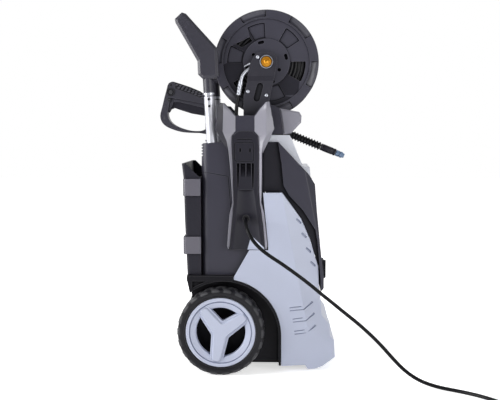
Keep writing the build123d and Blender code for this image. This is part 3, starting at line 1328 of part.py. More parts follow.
# water inlet on the left side, with its thread and collar
with BuildPart() as water_inlet:
    with BuildSketch(Plane.XZ.offset(-40)):
        with Locations((INLET_X, INLET_Z)):
            Circle(INLET_R)
    extrude(amount=-(COVER_HW - 40 + 22))
    with BuildSketch(Plane.XZ.offset(-COVER_HW - 22)):
        with Locations((INLET_X, INLET_Z)):
            Circle(13)
    extrude(amount=16)
    with BuildSketch(Plane.XZ.offset(-COVER_HW - 23)):
        with Locations((INLET_X, INLET_Z)):
            Circle(7.5)
    extrude(amount=60, mode=Mode.SUBTRACT)
write(water_inlet, "water_inlet")

# switch box and its knob on the front
KNOB_R = 30.0
KNOB_T = 11.0
KNOB_FACE = 188.6
SWITCH_FRONT = 176.5
with BuildPart() as switch_box:
    with BuildSketch(Plane.YZ.offset(148)):
        with Locations((0, KNOB_Z)):
            RectangleRounded(54, 48, 4)
    extrude(amount=SWITCH_FRONT - 148)
    with BuildSketch(Plane.YZ.offset(SWITCH_FRONT - 1)):
        with Locations((0, KNOB_Z)):
            Circle(STUB_D / 2)
    extrude(amount=KNOB_FACE + 6 - SWITCH_FRONT)
write(switch_box, "switch_box")
with BuildPart() as power_knob:
    with BuildSketch(Plane.YZ.offset(KNOB_FACE)):
        with Locations((0, KNOB_Z)):
            Circle(KNOB_R)
    extrude(amount=4)
    with BuildSketch(Plane.YZ.offset(KNOB_FACE + 4)):
        with Locations((0, KNOB_Z)):
            Circle(KNOB_R - 5)
            with PolarLocations(KNOB_R - 5, 12):
                Circle(2, mode=Mode.SUBTRACT)
    extrude(amount=KNOB_T - 6)
    with BuildSketch(Plane.YZ.offset(KNOB_FACE + 4)):
        with Locations((0, KNOB_Z)):
            SlotOverall(2 * KNOB_R - 12, 9, rotation=90)
    extrude(amount=KNOB_T - 4)
    with BuildSketch(Plane.YZ.offset(KNOB_FACE - 1)):
        with Locations((0, KNOB_Z)):
            Circle(STUB_D / 2 + FIT)
    extrude(amount=8, mode=Mode.SUBTRACT)
write(power_knob, "power_knob")
with BuildPart() as capacitor:
    with BuildSketch(Plane.XY.offset(MOTOR_Z0 + 10)):
        with Locations((MOTOR_X - MOTOR_R - 17 - FIT, 0)):
            Circle(17)
    extrude(amount=84)
    chamfer(capacitor.edges().filter_by(GeomType.CIRCLE), 2)
write(capacitor, "capacitor")

# rubber pads under the front foot
with BuildPart() as foot_pads:
    with BuildSketch(Plane.XY):
        with Locations((158, -80), (158, 80)):
            RectangleRounded(18, 44, 5)
    extrude(amount=6)
write(foot_pads, "foot_pads")

# -------------------------------------------------------- spray gun
GUN_HALF = 16.0
LEVER_HALF = 9.0
PIVOT = (-112.0, 668.0)
PIVOT_D = 5.0
NECK_Z = 606.0
PAD_LINE = [(-203, 743.2), (-184, 737.1), (-161, 729.4), (-137, 719.4), (-124, 710)]
PAD_DEEP = 17.0      # height of the pad's flanks
PAD_T = 3.0
PAD_IN = GUN_HALF - PAD_T
BOSS = (-214.0, 717.0)
with BuildPart() as gun_body:
    with BuildSketch(Plane.XZ):
        # back, butt and hand guard
        with BuildLine():
            Polyline(
                (-138, NECK_Z + 2.5), (-122, NECK_Z), (-97, NECK_Z), (-97, 680), (-104, 698),
                *reversed(PAD_LINE),
            )
            Spline(
                PAD_LINE[0], (-212, 743.6), (-219.8, 738.5), (-223.7, 727.7), (-227.5, 714), (-231.4, 699.6),
                (-238.2, 672.5), (-242.1, 654.8), (-240.8, 644.2), (-235.5, 634.2),
                (-224.3, 624.7), (-211.2, 618.8),
                (-191, 612.5), (-167.2, 609.3), (-138, NECK_Z + 2.5),
            )
        make_face()
        # loop for the fingers
        with BuildLine():
            Polyline((-222.5, 660), (-216, 702), (-128, 686), (-122, 676), (-122, 619))
            Spline(
                (-122, 619), (-128, 615.8), (-143.4, 613.8), (-161.3, 614.8), (-179.1, 619),
                (-196.9, 625.8),
                (-208.7, 633), (-217.5, 643), (-222.5, 660),
            )
        make_face(mode=Mode.SUBTRACT)
    extrude(amount=GUN_HALF, both=True)
    # saddle for the pad
    for out, thick in ((PAD_IN - FIT, PAD_T + 1), (-GUN_HALF - 1, PAD_T + 1 + FIT)):
        with BuildSketch(Plane.XZ.offset(out)):
            with BuildLine():
                Polyline(
                    *[(x, z + 6) for x, z in PAD_LINE],
                    *[(x, z - PAD_DEEP - FIT) for x, z in reversed(PAD_LINE)],
                    close=True,
                )
            make_face()
        extrude(amount=thick, mode=Mode.SUBTRACT)
    with BuildSketch(Plane.XZ):
        with BuildLine():
            Polyline(
                *[(x, z + 6) for x, z in PAD_LINE],
                *[(x, z - PAD_T - FIT) for x, z in reversed(PAD_LINE)], close=True,
            )
        make_face()
    extrude(amount=GUN_HALF + 1, both=True, mode=Mode.SUBTRACT)
    # slot for the lever, and its pin
    with BuildSketch(Plane.XZ):
        with BuildLine():
            Polyline(
                (-219, 690), (-214, 719), (-150, 709), (-122, 698), (-102, 680), (-102, 656),
                (-124, 648), close=True,
            )
        make_face()
    extrude(amount=LEVER_HALF + 1, both=True, mode=Mode.SUBTRACT)
    with BuildSketch(Plane.XZ):
        with Locations(PIVOT):
            Circle(PIVOT_D / 2)
    extrude(amount=LEVER_HALF + 2, both=True)
    # round cover of the screw boss, and two small sinkings, on both sides
    for side in (-1, 1):
        with BuildSketch(Plane(origin=(0, side * (GUN_HALF - 2), 0), x_dir=(1, 0, 0), z_dir=(0, -1, 0))):
            with Locations(BOSS):
                Circle(10.5)
                Circle(6.5, mode=Mode.SUBTRACT)
            with Locations((-212.5, 735)):
                Circle(3)
            with Locations((-218.5, 697)):
                Circle(4.5)
                Circle(2.5, mode=Mode.SUBTRACT)
        extrude(amount=-side * 4, mode=Mode.SUBTRACT)
    # bore that takes the lance
    with BuildSketch(Plane.XY.offset(NECK_Z - 1)):
        with Locations((LANCE_X, 0)):
            Circle(LANCE_D / 2 + FIT)
    extrude(amount=31, mode=Mode.SUBTRACT)
write(gun_body, "gun_body")

with BuildPart() as trigger:
    with BuildSketch(Plane.XZ) as lever_sk:
        with BuildLine():
            Polyline(
                (-207, 700), (-196, 703), (-128, 682), (-106, 678), (-105, 662), (-124, 654), (-159, 660),
                (-191, 670), (-205, 675), (-214, 671), (-217, 677), close=True,
            )
        make_face()
        fillet(lever_sk.vertices(), 2.5)
        with Locations(PIVOT):
            Circle(PIVOT_D / 2 + FIT, mode=Mode.SUBTRACT)
    extrude(amount=LEVER_HALF, both=True)
write(trigger, "trigger")

with BuildPart() as gun_pad:
    with BuildSketch(Plane.XZ):
        with BuildLine():
            Polyline(*PAD_LINE, *[(x, z - PAD_DEEP) for x, z in reversed(PAD_LINE)], close=True)
        make_face()
    extrude(amount=GUN_HALF + 0.7, both=True)
    with BuildSketch(Plane.XZ):
        with BuildLine():
            Polyline(
                *[(x, z - PAD_T) for x, z in PAD_LINE],
                *[(x, z - PAD_DEEP - 1) for x, z in reversed(PAD_LINE)],
                close=True,
            )
        make_face()
    extrude(amount=PAD_IN, both=True, mode=Mode.SUBTRACT)
write(gun_pad, "gun_pad")

LANCE_FOOT = SOCKET_FOOT + WALL + 12 + FIT
with BuildPart() as gun_lance:
    with BuildSketch(Plane.XY.offset(LANCE_FOOT)):
        with Locations((LANCE_X, 0)):
            Circle(LANCE_D / 2)
    extrude(amount=NECK_Z + 28 - LANCE_FOOT)
    with BuildSketch(Plane.XY.offset(LANCE_FOOT - 12)):
        with Locations((LANCE_X, 0)):
            Circle(LANCE_D / 2 - 2.5)
            Circle(2, mode=Mode.SUBTRACT)
    extrude(amount=13)
write(gun_lance, "gun_lance")

# ------------------------------------------------------- power cord
with BuildPart() as cord_relief:
    with BuildSketch(Plane.XZ.offset(HOUSE_HW + FIT)):
        with Locations((CORD_OUT_X, CORD_OUT_Z)):
            Circle(RELIEF_D / 2)
    extrude(amount=SPINE_HW + 2 - HOUSE_HW - FIT)
    with BuildSketch(Plane.XZ.offset(SPINE_HW + 2)):
        with Locations((CORD_OUT_X, CORD_OUT_Z)):
            Circle(RELIEF_D / 2 + 2)
    extrude(amount=2)
write(cord_relief, "cord_relief")
ROUTE = [
    (-9, -SPINE_HW - 4, 394), (-9.3, -SPINE_HW - 23, 392.5), (-8.4, -191.5, 387.5),
    (-5, -207, 376), (2, -217, 361), (13.5, -221.5, 343),
    (31, -222.5, 325), (55, -222, 307.5), (82, -221, 290), (114, -220, 267), (146, -219.5, 243),
    (177, -219.5, 217),
    (205, -219, 195), (233, -221, 172), (264, -224, 148), (294, -228, 122), (323, -233, 94),
    (350, -240, 64),
    (377, -250, 37), (410, -264, 16.5), (451, -282, 6.2), (496, -306, 4.6), (535, -338, 4.5),
    (567, -378, 4.5),
    (600.9, -434.5, 4.5),
]


def bend_radii(route):
    """One radius for each corner: as large as its two runs allow."""
    points = [Vector(*point) for point in route]
    radii = []
    for before, corner, after in zip(points, points[1:], points[2:]):
        run_in = corner - before
        run_out = after - corner
        half_turn = radians(run_in.get_angle(run_out)) / 2
        radii.append(0.45 * min(run_in.length, run_out.length) / tan(half_turn))
    return radii


cord_radii = bend_radii(ROUTE)
print("power cord bend radii:", [round(radius) for radius in cord_radii])
with BuildPart() as power_cord:
    with BuildLine() as cord_line:
        FilletPolyline(*ROUTE, radius=cord_radii)
    with BuildSketch(cord_line.line ^ 0):
        Circle(CORD_D / 2)
    sweep()
cord_length = sum(edge.length for edge in cord_line.edges())
print("power cord tube: length", round(cord_length), "volume ratio",
      round(power_cord.part.volume / (pi * CORD_D**2 / 4 * cord_length), 4))
write(power_cord, "power_cord")

# rest of the 5 m cord, coiled on the floor, with the plug beside it
CORD_LENGTH = 5000.0
COIL_R = 6 * CORD_D
COIL_ROWS = 3
COIL_LAYERS = 4
COIL_X = 655.0
COIL_Y = -402.0
coil_side = COIL_R + COIL_ROWS * CORD_D / 2 + 1
with BuildPart() as cord_coil:
    with BuildSketch(Plane.XY.offset(0.2)):
        with Locations((COIL_X, COIL_Y)):
            Circle(coil_side)
            Circle(COIL_R - COIL_ROWS * CORD_D / 2, mode=Mode.SUBTRACT)
    extrude(amount=COIL_LAYERS * CORD_D)
    chamfer(cord_coil.edges().filter_by(GeomType.CIRCLE), 3)
write(cord_coil, "cord_coil")


# plug: bend relief, body and two round pins, lying beside the coil
PLUG_TURN = 240.0                    # degrees round the coil, where the cord leaves it
PLUG_ROOT = 10.5                     # from there to the bend relief
PLUG_R = 18.0
PLUG_LEN = 34.0
plug_out = Vector(cos(radians(PLUG_TURN)), sin(radians(PLUG_TURN)), 0)
plug_dir = Vector(-plug_out.Y, plug_out.X, 0)


def plug_plane(along):
    """Plane across the plug, a distance along it from its bend relief's root."""
    leave = Vector(COIL_X, COIL_Y, PLUG_R + 0.2) + plug_out * (coil_side + CORD_D / 2)
    return Plane(origin=leave + plug_dir * (PLUG_ROOT + along), x_dir=(0, 0, 1), z_dir=plug_dir)


with BuildPart() as plug_body:
    with BuildSketch(plug_plane(0)):
        Circle(CORD_D / 2 + 0.5)
    with BuildSketch(plug_plane(18)):
        Circle(CORD_D / 2 + 3)
    loft()
    with BuildSketch(plug_plane(18)):
        Circle(11)
    with BuildSketch(plug_plane(32)):
        Circle(PLUG_R)
    loft()
    with BuildSketch(plug_plane(32)):
        Circle(PLUG_R)
    extrude(amount=PLUG_LEN - 14)
write(plug_body, "plug_body")
with BuildPart() as plug_pins:
    with BuildSketch(plug_plane(18 + PLUG_LEN)):
        with GridLocations(1, 19, 1, 2):
            Circle(2.4)
    extrude(amount=19)
    chamfer(plug_pins.faces().sort_by(Axis.X)[-2:].edges(), 1)
write(plug_pins, "plug_pins")
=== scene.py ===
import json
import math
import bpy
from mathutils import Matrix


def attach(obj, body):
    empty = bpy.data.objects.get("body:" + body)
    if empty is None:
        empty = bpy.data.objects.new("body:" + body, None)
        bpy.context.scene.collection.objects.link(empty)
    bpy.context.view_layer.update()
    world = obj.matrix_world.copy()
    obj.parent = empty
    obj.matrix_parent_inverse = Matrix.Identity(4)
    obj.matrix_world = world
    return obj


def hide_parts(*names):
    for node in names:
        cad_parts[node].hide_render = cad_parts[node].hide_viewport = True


bl_info = {
    "name": "Upright pressure washer",
    "version": (1, 0, 0),
    "blender": (4, 5, 0),
    "location": "3D View > Sidebar > Washer",
    "description": "Builds an upright pressure washer on its packed frame, piece by piece",
    "category": "Object",
}

import bmesh
import bpy
from mathutils import Matrix, Vector

MM = 0.001
A, B = 6, 7           # the two colour sockets of a mix node
WHITE = (1.0, 1.0, 1.0, 1.0)
# pale colour of the painted highlight along convex edges
HIGHLIGHT_COLOUR = (0.8, 0.8, 0.85, 1.0)
HIGHLIGHT_WIDTH = 1.6 * MM       # width of the painted highlight along an edge
HIGHLIGHT_SHARE = 0.06     # share of the highlight colour in it
SHADE_REACH = 8.0 * MM     # width of the painted shade in an inner corner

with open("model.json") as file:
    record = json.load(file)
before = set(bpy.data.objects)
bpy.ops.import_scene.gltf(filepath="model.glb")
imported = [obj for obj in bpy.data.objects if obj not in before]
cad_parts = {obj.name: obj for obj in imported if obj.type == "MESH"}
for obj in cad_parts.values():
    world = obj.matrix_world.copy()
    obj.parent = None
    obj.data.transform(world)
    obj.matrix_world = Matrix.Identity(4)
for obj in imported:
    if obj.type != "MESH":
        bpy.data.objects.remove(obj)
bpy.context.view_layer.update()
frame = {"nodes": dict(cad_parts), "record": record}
CAD = frame["nodes"]
BODY_OF = {
    name: body for body, names in frame["record"]["behaviour"]["bodies"].items() for name in names
}


# ------------------------------------------------------------------ colours and nodes
def srgb(code):
    """Linear colour of an sRGB hex value."""
    parts = [int(code[i:i + 2], 16) / 255 for i in (1, 3, 5)]
    return tuple(p / 12.92 if p <= 0.04045 else ((p + 0.055) / 1.055) ** 2.4 for p in parts)


def tinted(colour, share, lift=0.0):
    """A colour scaled by share and raised by lift, with its alpha."""
    return (*(c * share + lift for c in colour), 1.0)


def add(tree, kind, links=None, **settings):
    """Add a node with its settings. A link's value is a number, a colour, another node's socket, or
    another node, which stands for its first output in use."""
    made = tree.nodes.new(kind)
    for key, value in settings.items():
        setattr(made, key, value)
    for key, value in (links or {}).items():
        if isinstance(value, bpy.types.Node):
            value = next(socket for socket in value.outputs if socket.enabled)
        if isinstance(value, bpy.types.NodeSocket):
            tree.links.new(value, made.inputs[key])
        else:
            made.inputs[key].default_value = value
    return made


def empty_tree(owner):
    """The node tree of a new material or world, without nodes."""
    owner.use_nodes = True
    owner.node_tree.nodes.clear()
    return owner.node_tree


def moulded(tree, colour, rough, grain_mm, grain_depth, cloud, gloss):
    """Injection-moulded plastic or rubber: fine spark-eroded grain, faint clouding and uneven sheen.
    Its convex edges are painted paler as a painted highlight, and its inner corners get painted shade: darker
    and without gloss."""
    place = add(tree, "ShaderNodeTexCoord").outputs["Object"]
    clouds = add(tree, "ShaderNodeTexNoise", {"Vector": place, "Scale": 14.0, "Detail": 3.0})
    tone = add(tree, "ShaderNodeMix", {
        "Factor": clouds, A: tinted(colour, 1 - cloud), B: tinted(colour, 1 + cloud, 0.002),
    }, data_type="RGBA")
    # painted highlight: convex edges, found by occlusion inside the piece, are mixed towards a pale colour
    rim = add(tree, "ShaderNodeAmbientOcclusion", {"Distance": HIGHLIGHT_WIDTH}, inside=True, only_local=True, samples=4)
    painted_highlight = add(tree, "ShaderNodeMapRange", {
        "Value": rim.outputs["AO"], "From Min": 0.5, "From Max": 0.95, "To Min": HIGHLIGHT_SHARE, "To Max": 0.0,
    })
    tone = add(tree, "ShaderNodeMix", {"Factor": painted_highlight, A: tone, B: HIGHLIGHT_COLOUR}, data_type="RGBA")
    # painted shade: inner corners, found by occlusion, turn darker and lose their gloss
    corner = add(tree, "ShaderNodeAmbientOcclusion", {"Distance": SHADE_REACH}, only_local=True, samples=4)
    unshaded = add(tree, "ShaderNodeMapRange", {
        "Value": corner.outputs["AO"], "From Min": 0.5, "From Max": 0.98, "To Min": 0.05, "To Max": 1.0,
    })
    painted_shade_tone = (*(c * (0.15 + 0.7 * c) for c in colour), 1.0)
    tone = add(tree, "ShaderNodeMix", {"Factor": unshaded, A: painted_shade_tone, B: tone}, data_type="RGBA")
    grain = add(tree, "ShaderNodeTexNoise", {"Vector": place, "Scale": 1.0 / (grain_mm * MM), "Detail": 2.0})
    bump = add(tree, "ShaderNodeBump", {"Height": grain, "Distance": grain_depth * MM, "Strength": 0.5})
    sheen = add(tree, "ShaderNodeMapRange", {"Value": clouds, "To Min": rough - 0.05, "To Max": rough + 0.06})
    gloss_outside_shade = add(tree, "ShaderNodeMath", {0: unshaded, 1: gloss}, operation="MULTIPLY")
    return add(tree, "ShaderNodeBsdfPrincipled", {
        "Base Color": tone, "Roughness": sheen, "Normal": bump, "Specular IOR Level": gloss_outside_shade,
    })


def metal(tree, colour, rough, stretch, line_mm, depth, bare):
    """Metal with a fine drawn, turned or cast texture. bare falls below 1 under a milky oxide layer."""
    place = add(tree, "ShaderNodeTexCoord").outputs["Object"]
    drawn = add(tree, "ShaderNodeMapping", {"Vector": place, "Scale": stretch})
    lines = add(tree, "ShaderNodeTexNoise", {"Vector": drawn, "Scale": 1.0 / (line_mm * MM), "Detail": 3.0})
    haze = add(tree, "ShaderNodeTexNoise", {"Vector": place, "Scale": 25.0, "Detail": 2.0})
    tone = add(tree, "ShaderNodeMix", {
        "Factor": haze, A: tinted(colour, 0.9), B: tinted(colour, 1.0),
    }, data_type="RGBA")
    sheen = add(tree, "ShaderNodeMapRange", {"Value": lines, "To Min": rough * 0.85, "To Max": rough * 1.15})
    bump = add(tree, "ShaderNodeBump", {"Height": lines, "Distance": depth * MM, "Strength": 0.3})
    return add(tree, "ShaderNodeBsdfPrincipled", {
        "Base Color": tone, "Metallic": bare, "Roughness": sheen, "Normal": bump,
    })


class WasherColours(bpy.types.PropertyGroup):
    charcoal: bpy.props.FloatVectorProperty(
        name="Housing", description="Charcoal of the dark housings", size=3, default=srgb("#302f3b"),
        subtype="COLOR",
    )
    cover: bpy.props.FloatVectorProperty(
        name="Cover", description="Blue-grey of the front cover and rims", size=3, default=srgb("#b9bfd3"),
        subtype="COLOR",
    )
    side_frame: bpy.props.FloatVectorProperty(
        name="Side frame", description="Mid grey of the side frames and console", size=3,
        default=srgb("#8d8c97"), subtype="COLOR",
    )
    inset: bpy.props.FloatVectorProperty(
        name="Inset", description="Near black of the insets, knobs and bin", size=3,
        default=srgb("#1c1b25"), subtype="COLOR",
    )
    grip: bpy.props.FloatVectorProperty(
        name="Grip", description="Dark grey of the handle and gun", size=3, default=srgb("#31303a"),
        subtype="COLOR",
    )
    tyre: bpy.props.FloatVectorProperty(
        name="Tyre", description="Near black of the tyres", size=3, default=srgb("#15151a"),
        subtype="COLOR",
    )
    coupling: bpy.props.FloatVectorProperty(
        name="Couplings", description="Blue-grey of hose end and water inlet", size=3,
        default=srgb("#6d86a6"), subtype="COLOR",
    )
    brass: bpy.props.FloatVectorProperty(
        name="Brass", description="Yellow of the swivel", size=3, default=srgb("#c98a1e"),
        subtype="COLOR",
    )


# name: label, colour (a property or hex), roughness, grain width and depth in mm, clouding, gloss
# real grain is 0.1 to 0.3 mm wide, too fine to show, so it is drawn several times as coarse
MOULDED = {
    # spark-eroded ABS: dark blue-grey with soft, wide highlights
    "charcoal_abs": ("charcoal ABS, spark-eroded", "charcoal", 0.40, 0.9, 0.05, 0.05, 0.35),
    # nylon of the reel: the same hue, harder and a little brighter
    "reel_pa": ("charcoal nylon, satin", "#373642", 0.38, 0.9, 0.04, 0.05, 0.5),
    # the same ABS painted paler on the bin's bands: a painted highlight, with a smoother sheen
    "band_highlight_abs": ("charcoal ABS, worn smooth", "#5b5963", 0.34, 1.2, 0.03, 0.05, 0.5),
    # polished mould: an even colour with a satin gloss
    "grey_abs": ("blue-grey ABS, satin", "cover", 0.36, 1.4, 0.02, 0.02, 0.5),
    # the same ABS painted a little paler on the hood: painted light that makes up for the console's shade on
    # it
    "hood_light_abs": ("pale blue-grey ABS, satin", "#e0e3ed", 0.36, 1.4, 0.02, 0.02, 0.5),
    # satin ABS that catches the light on its facets
    "frame_abs": ("mid-grey ABS, satin", "side_frame", 0.36, 1.0, 0.03, 0.03, 0.5),
    # polypropylene: nearly black with a waxy, blurred sheen
    "black_pp": ("black polypropylene, moulded", "inset", 0.45, 0.8, 0.05, 0.06, 0.25),
    # polypropylene of the tub, painted blacker and duller than the trim: painted shade under the machine
    "shaded_tub_pp": ("black polypropylene, dull", "#111016", 0.5, 0.8, 0.05, 0.06, 0.15),
    # glass-filled nylon: dark grey, dry and slightly mottled
    "grip_pa": ("glass-filled nylon, dark grey", "grip", 0.4, 0.9, 0.03, 0.06, 0.45),
    # tyre rubber: matt near-black with dust in its pores
    "tyre_rubber": ("tyre rubber, moulded", "tyre", 0.48, 0.6, 0.08, 0.12, 0.24),
    # extruded hose cover: black and smooth with a long highlight
    "hose_rubber": ("black rubber, extruded", "#111115", 0.34, 0.5, 0.03, 0.1, 0.25),
    # PVC cable jacket: black and smooth with a soft highlight
    "cord_pvc": ("black PVC, cable jacket", "#0c0c0f", 0.3, 0.5, 0.01, 0.08, 0.14),
    # overmoulded rubber: matt and grippy
    "soft_rubber": ("overmoulded rubber, matt", "#222227", 0.75, 0.5, 0.1, 0.12, 0.2),
    # powder coat on folded steel: hard and finely pebbled
    "powder_coat": ("black powder coat on steel", "#2d2c35", 0.38, 1.2, 0.06, 0.05, 0.4),
    # glossy nylon of the couplings: clear highlights on a strong colour
    "blue_nylon": ("blue-grey nylon, gloss", "coupling", 0.3, 1.0, 0.02, 0.05, 0.6),
    # stoving enamel of the motor: black, hard and even
    "motor_paint": ("black stoving enamel", "#26262b", 0.35, 1.5, 0.03, 0.05, 0.5),
}
# name: label, colour, roughness, stretch of the texture, line width and depth in mm, share of bare metal
# real tool marks are about 0.1 mm wide, too fine to show, so they are drawn coarser too
METALS = {
    # anodised drawn tube: bright and milky, blurred along its length
    "tube_aluminium": ("anodised aluminium, drawn", "#cfd0d8", 0.36, (1.0, 1.0, 0.04), 0.8, 0.003, 0.55),
    # bright zinc plate: mirror-like with a faint blur
    "zinc_plate": ("bright zinc plate on steel", "#d5d8e2", 0.3, (1.0, 1.0, 1.0), 1.5, 0.004, 0.6),
    # turned brass: warm yellow with fine marks of the tool
    "turned_brass": ("turned brass", "brass", 0.34, (1.0, 1.0, 1.0), 0.8, 0.01, 0.7),
    # turned steel: grey, with marks round the bar
    "turned_steel": ("turned steel", "#a9abb2", 0.3, (1.0, 1.0, 0.1), 0.6, 0.005, 1.0),
    # die-cast housing: grey, grainy and dull
    "cast_aluminium": ("die-cast aluminium", "#a3a5aa", 0.5, (1.0, 1.0, 1.0), 1.2, 0.04, 1.0),
}


def finish(key):
    """The material of a finish, made when it is first asked for."""
    shading, rows = (metal, METALS) if key in METALS else (moulded, MOULDED)
    label, colour, *rest = rows[key]
    if label not in bpy.data.materials:
        linear = srgb(colour) if colour.startswith("#") else getattr(bpy.context.scene.washer_colours, colour)
        tree = empty_tree(bpy.data.materials.new(label))
        add(tree, "ShaderNodeOutputMaterial", {"Surface": shading(tree, linear, *rest)})
    return bpy.data.materials[label]


# ------------------------------------------------------------------ shaping
FACET = 11.0          # degrees from which a moulding's facets show
STRAIGHT = 176.0      # degrees from which a corner of an outline is left as it is


def stand_for(piece, node, look=None):
    """Let a finished piece stand for a CAD node, on its body and in its material slot. look is the finish
    of a piece that has only one."""
    if look:
        piece.data.materials.clear()
        piece.data.materials.append(finish(look))
    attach(piece, BODY_OF[node])
    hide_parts(node)
    return piece


def linked(name, data):
    """A new object in the scene."""
    made = bpy.data.objects.new(name, data)
    bpy.context.scene.collection.objects.link(made)
    return made


def cleaned(mesh):
    """Merge double points and make the normals point outwards."""
    bm = bmesh.new()
    bm.from_mesh(mesh)
    bmesh.ops.remove_doubles(bm, verts=bm.verts, dist=1e-6)
    bmesh.ops.recalc_face_normals(bm, faces=bm.faces)
    bm.to_mesh(mesh)
    bm.free()


def smooth_by_angle(mesh, degrees=32.0, broad=None):
    """Smooth shading that stays sharp over an angle. broad is a width in millimetres: the crease between
    two faces that are both wider stays sharp too, however shallow it is."""
    bm = bmesh.new()
    bm.from_mesh(mesh)
    width = [2 * face.calc_area() / max(face.calc_perimeter(), 1e-9) / MM for face in bm.faces]
    for face in bm.faces:
        face.smooth = True
    for edge in bm.edges:
        edge.smooth = edge.is_manifold and edge.calc_face_angle(0.0) < math.radians(degrees)
        if broad and edge.smooth and min(width[face.index] for face in edge.link_faces) > broad:
            edge.smooth = edge.calc_face_angle(0.0) < math.radians(1.0)
    bm.to_mesh(mesh)
    bm.free()


def mesh_piece(name, verts, faces, degrees=32.0):
    """A piece from points in metres and faces."""
    mesh = bpy.data.meshes.new(name)
    mesh.from_pydata([tuple(v) for v in verts], [], faces)
    cleaned(mesh)
    smooth_by_angle(mesh, degrees)
    return linked(name, mesh)


def applied(obj):
    """The object with its modifiers applied, as a plain mesh object at the origin."""
    graph = bpy.context.evaluated_depsgraph_get()
    graph.update()
    mesh = bpy.data.meshes.new_from_object(obj.evaluated_get(graph), depsgraph=graph)
    mesh.transform(obj.matrix_world)
    mesh.name = label = obj.name
    bpy.data.objects.remove(obj)
    return linked(label, mesh)


def joined(name, objects):
    """One mesh object from several plain ones, with their material slots merged."""
    bm = bmesh.new()
    materials = []
    for obj in objects:
        start = len(bm.faces)
        bm.from_mesh(obj.data)
        bm.faces.ensure_lookup_table()
        slots = list(obj.data.materials) or [None]
        materials += [material for material in slots if material not in materials]
        for face in bm.faces[start:]:
            face.material_index = materials.index(slots[min(face.material_index, len(slots) - 1)])
        bpy.data.meshes.remove(obj.data)
    mesh = bpy.data.meshes.new(name)
    bm.to_mesh(mesh)
    bm.free()
    for material in materials:
        mesh.materials.append(material)
    return linked(name, mesh)


def rounded(points, radius, steps=4):
    """The outline with its corners rounded. A point may carry its own radius as a third number."""
    out = []
    count = len(points)
    for i, point in enumerate(points):
        before, after = Vector(points[i - 1][:2]), Vector(points[(i + 1) % count][:2])
        corner = Vector(point[:2])
        want = point[2] if len(point) > 2 else radius
        u, v = before - corner, after - corner
        turn = u.angle(v)
        if turn > math.radians(STRAIGHT):
            out.append(corner)
            continue
        cut = min(want / math.tan(turn / 2), 0.45 * u.length, 0.45 * v.length)
        start, end = corner + u.normalized() * cut, corner + v.normalized() * cut
        for k in range(steps + 1):
            t = k / steps
            out.append(start * (1 - t) ** 2 + corner * (2 * t * (1 - t)) + end * t**2)
    return out


def line_curve(name, kind, points):
    """A 3D curve with one spline through points in millimetres."""
    curve = bpy.data.curves.new(name, "CURVE")
    curve.dimensions = "3D"
    spline = curve.splines.new(kind)
    spline.points.add(len(points) - 1)
    for point, (x, y, z) in zip(spline.points, points):
        point.co = (x * MM, y * MM, z * MM, 1)
    return curve


def plate(name, outline, y0, y1, edge, look, segments=2, degrees=32.0):
    """A moulded plate: an outline in millimetres across X and Z, from y0 to y1, its edges rounded by edge."""
    curve = line_curve(name, "POLY", [(x, z, 0) for x, z in outline])
    curve.dimensions = "2D"
    curve.fill_mode = "BOTH"
    curve.splines[0].use_cyclic_u = True
    curve.offset = -edge * MM
    curve.bevel_depth = edge * MM
    curve.bevel_resolution = segments - 1
    curve.extrude = max(abs(y1 - y0) / 2 - edge, 0) * MM
    obj = linked(name, curve)
    obj.matrix_world = Matrix(((1, 0, 0, 0), (0, 0, -1, (y0 + y1) / 2 * MM), (0, 1, 0, 0), (0, 0, 0, 1)))
    bpy.context.view_layer.update()
    made = applied(obj)
    cleaned(made.data)
    smooth_by_angle(made.data, degrees)
    made.data.materials.clear()
    made.data.materials.append(finish(look))
    return made


def lathe(name, profile, centre, axis, steps, look, degrees=32.0):
    """A turned piece: profile of (along, radius) in millimetres about an axis through centre. A profile
    that doesn't close on itself gets flat ends."""
    axis = Vector(axis).normalized()
    side = axis.orthogonal().normalized()
    other = axis.cross(side)
    centre = Vector(centre)
    verts, faces = [], []
    count = len(profile)
    for along, radius in profile:
        for k in range(steps):
            a = 2 * math.pi * k / steps
            verts.append((centre + axis * along + (side * math.cos(a) + other * math.sin(a)) * radius) * MM)
    for i in range(count - 1):
        for k in range(steps):
            n = (k + 1) % steps
            faces.append((i * steps + k, i * steps + n, (i + 1) * steps + n, (i + 1) * steps + k))
    for i in (0, count - 1):
        if profile[0] != profile[-1] and profile[i][1] > 1e-6:
            faces.append(tuple(i * steps + k for k in range(steps)))
    made = mesh_piece(name, verts, faces, degrees)
    made.data.materials.append(finish(look))
    return made


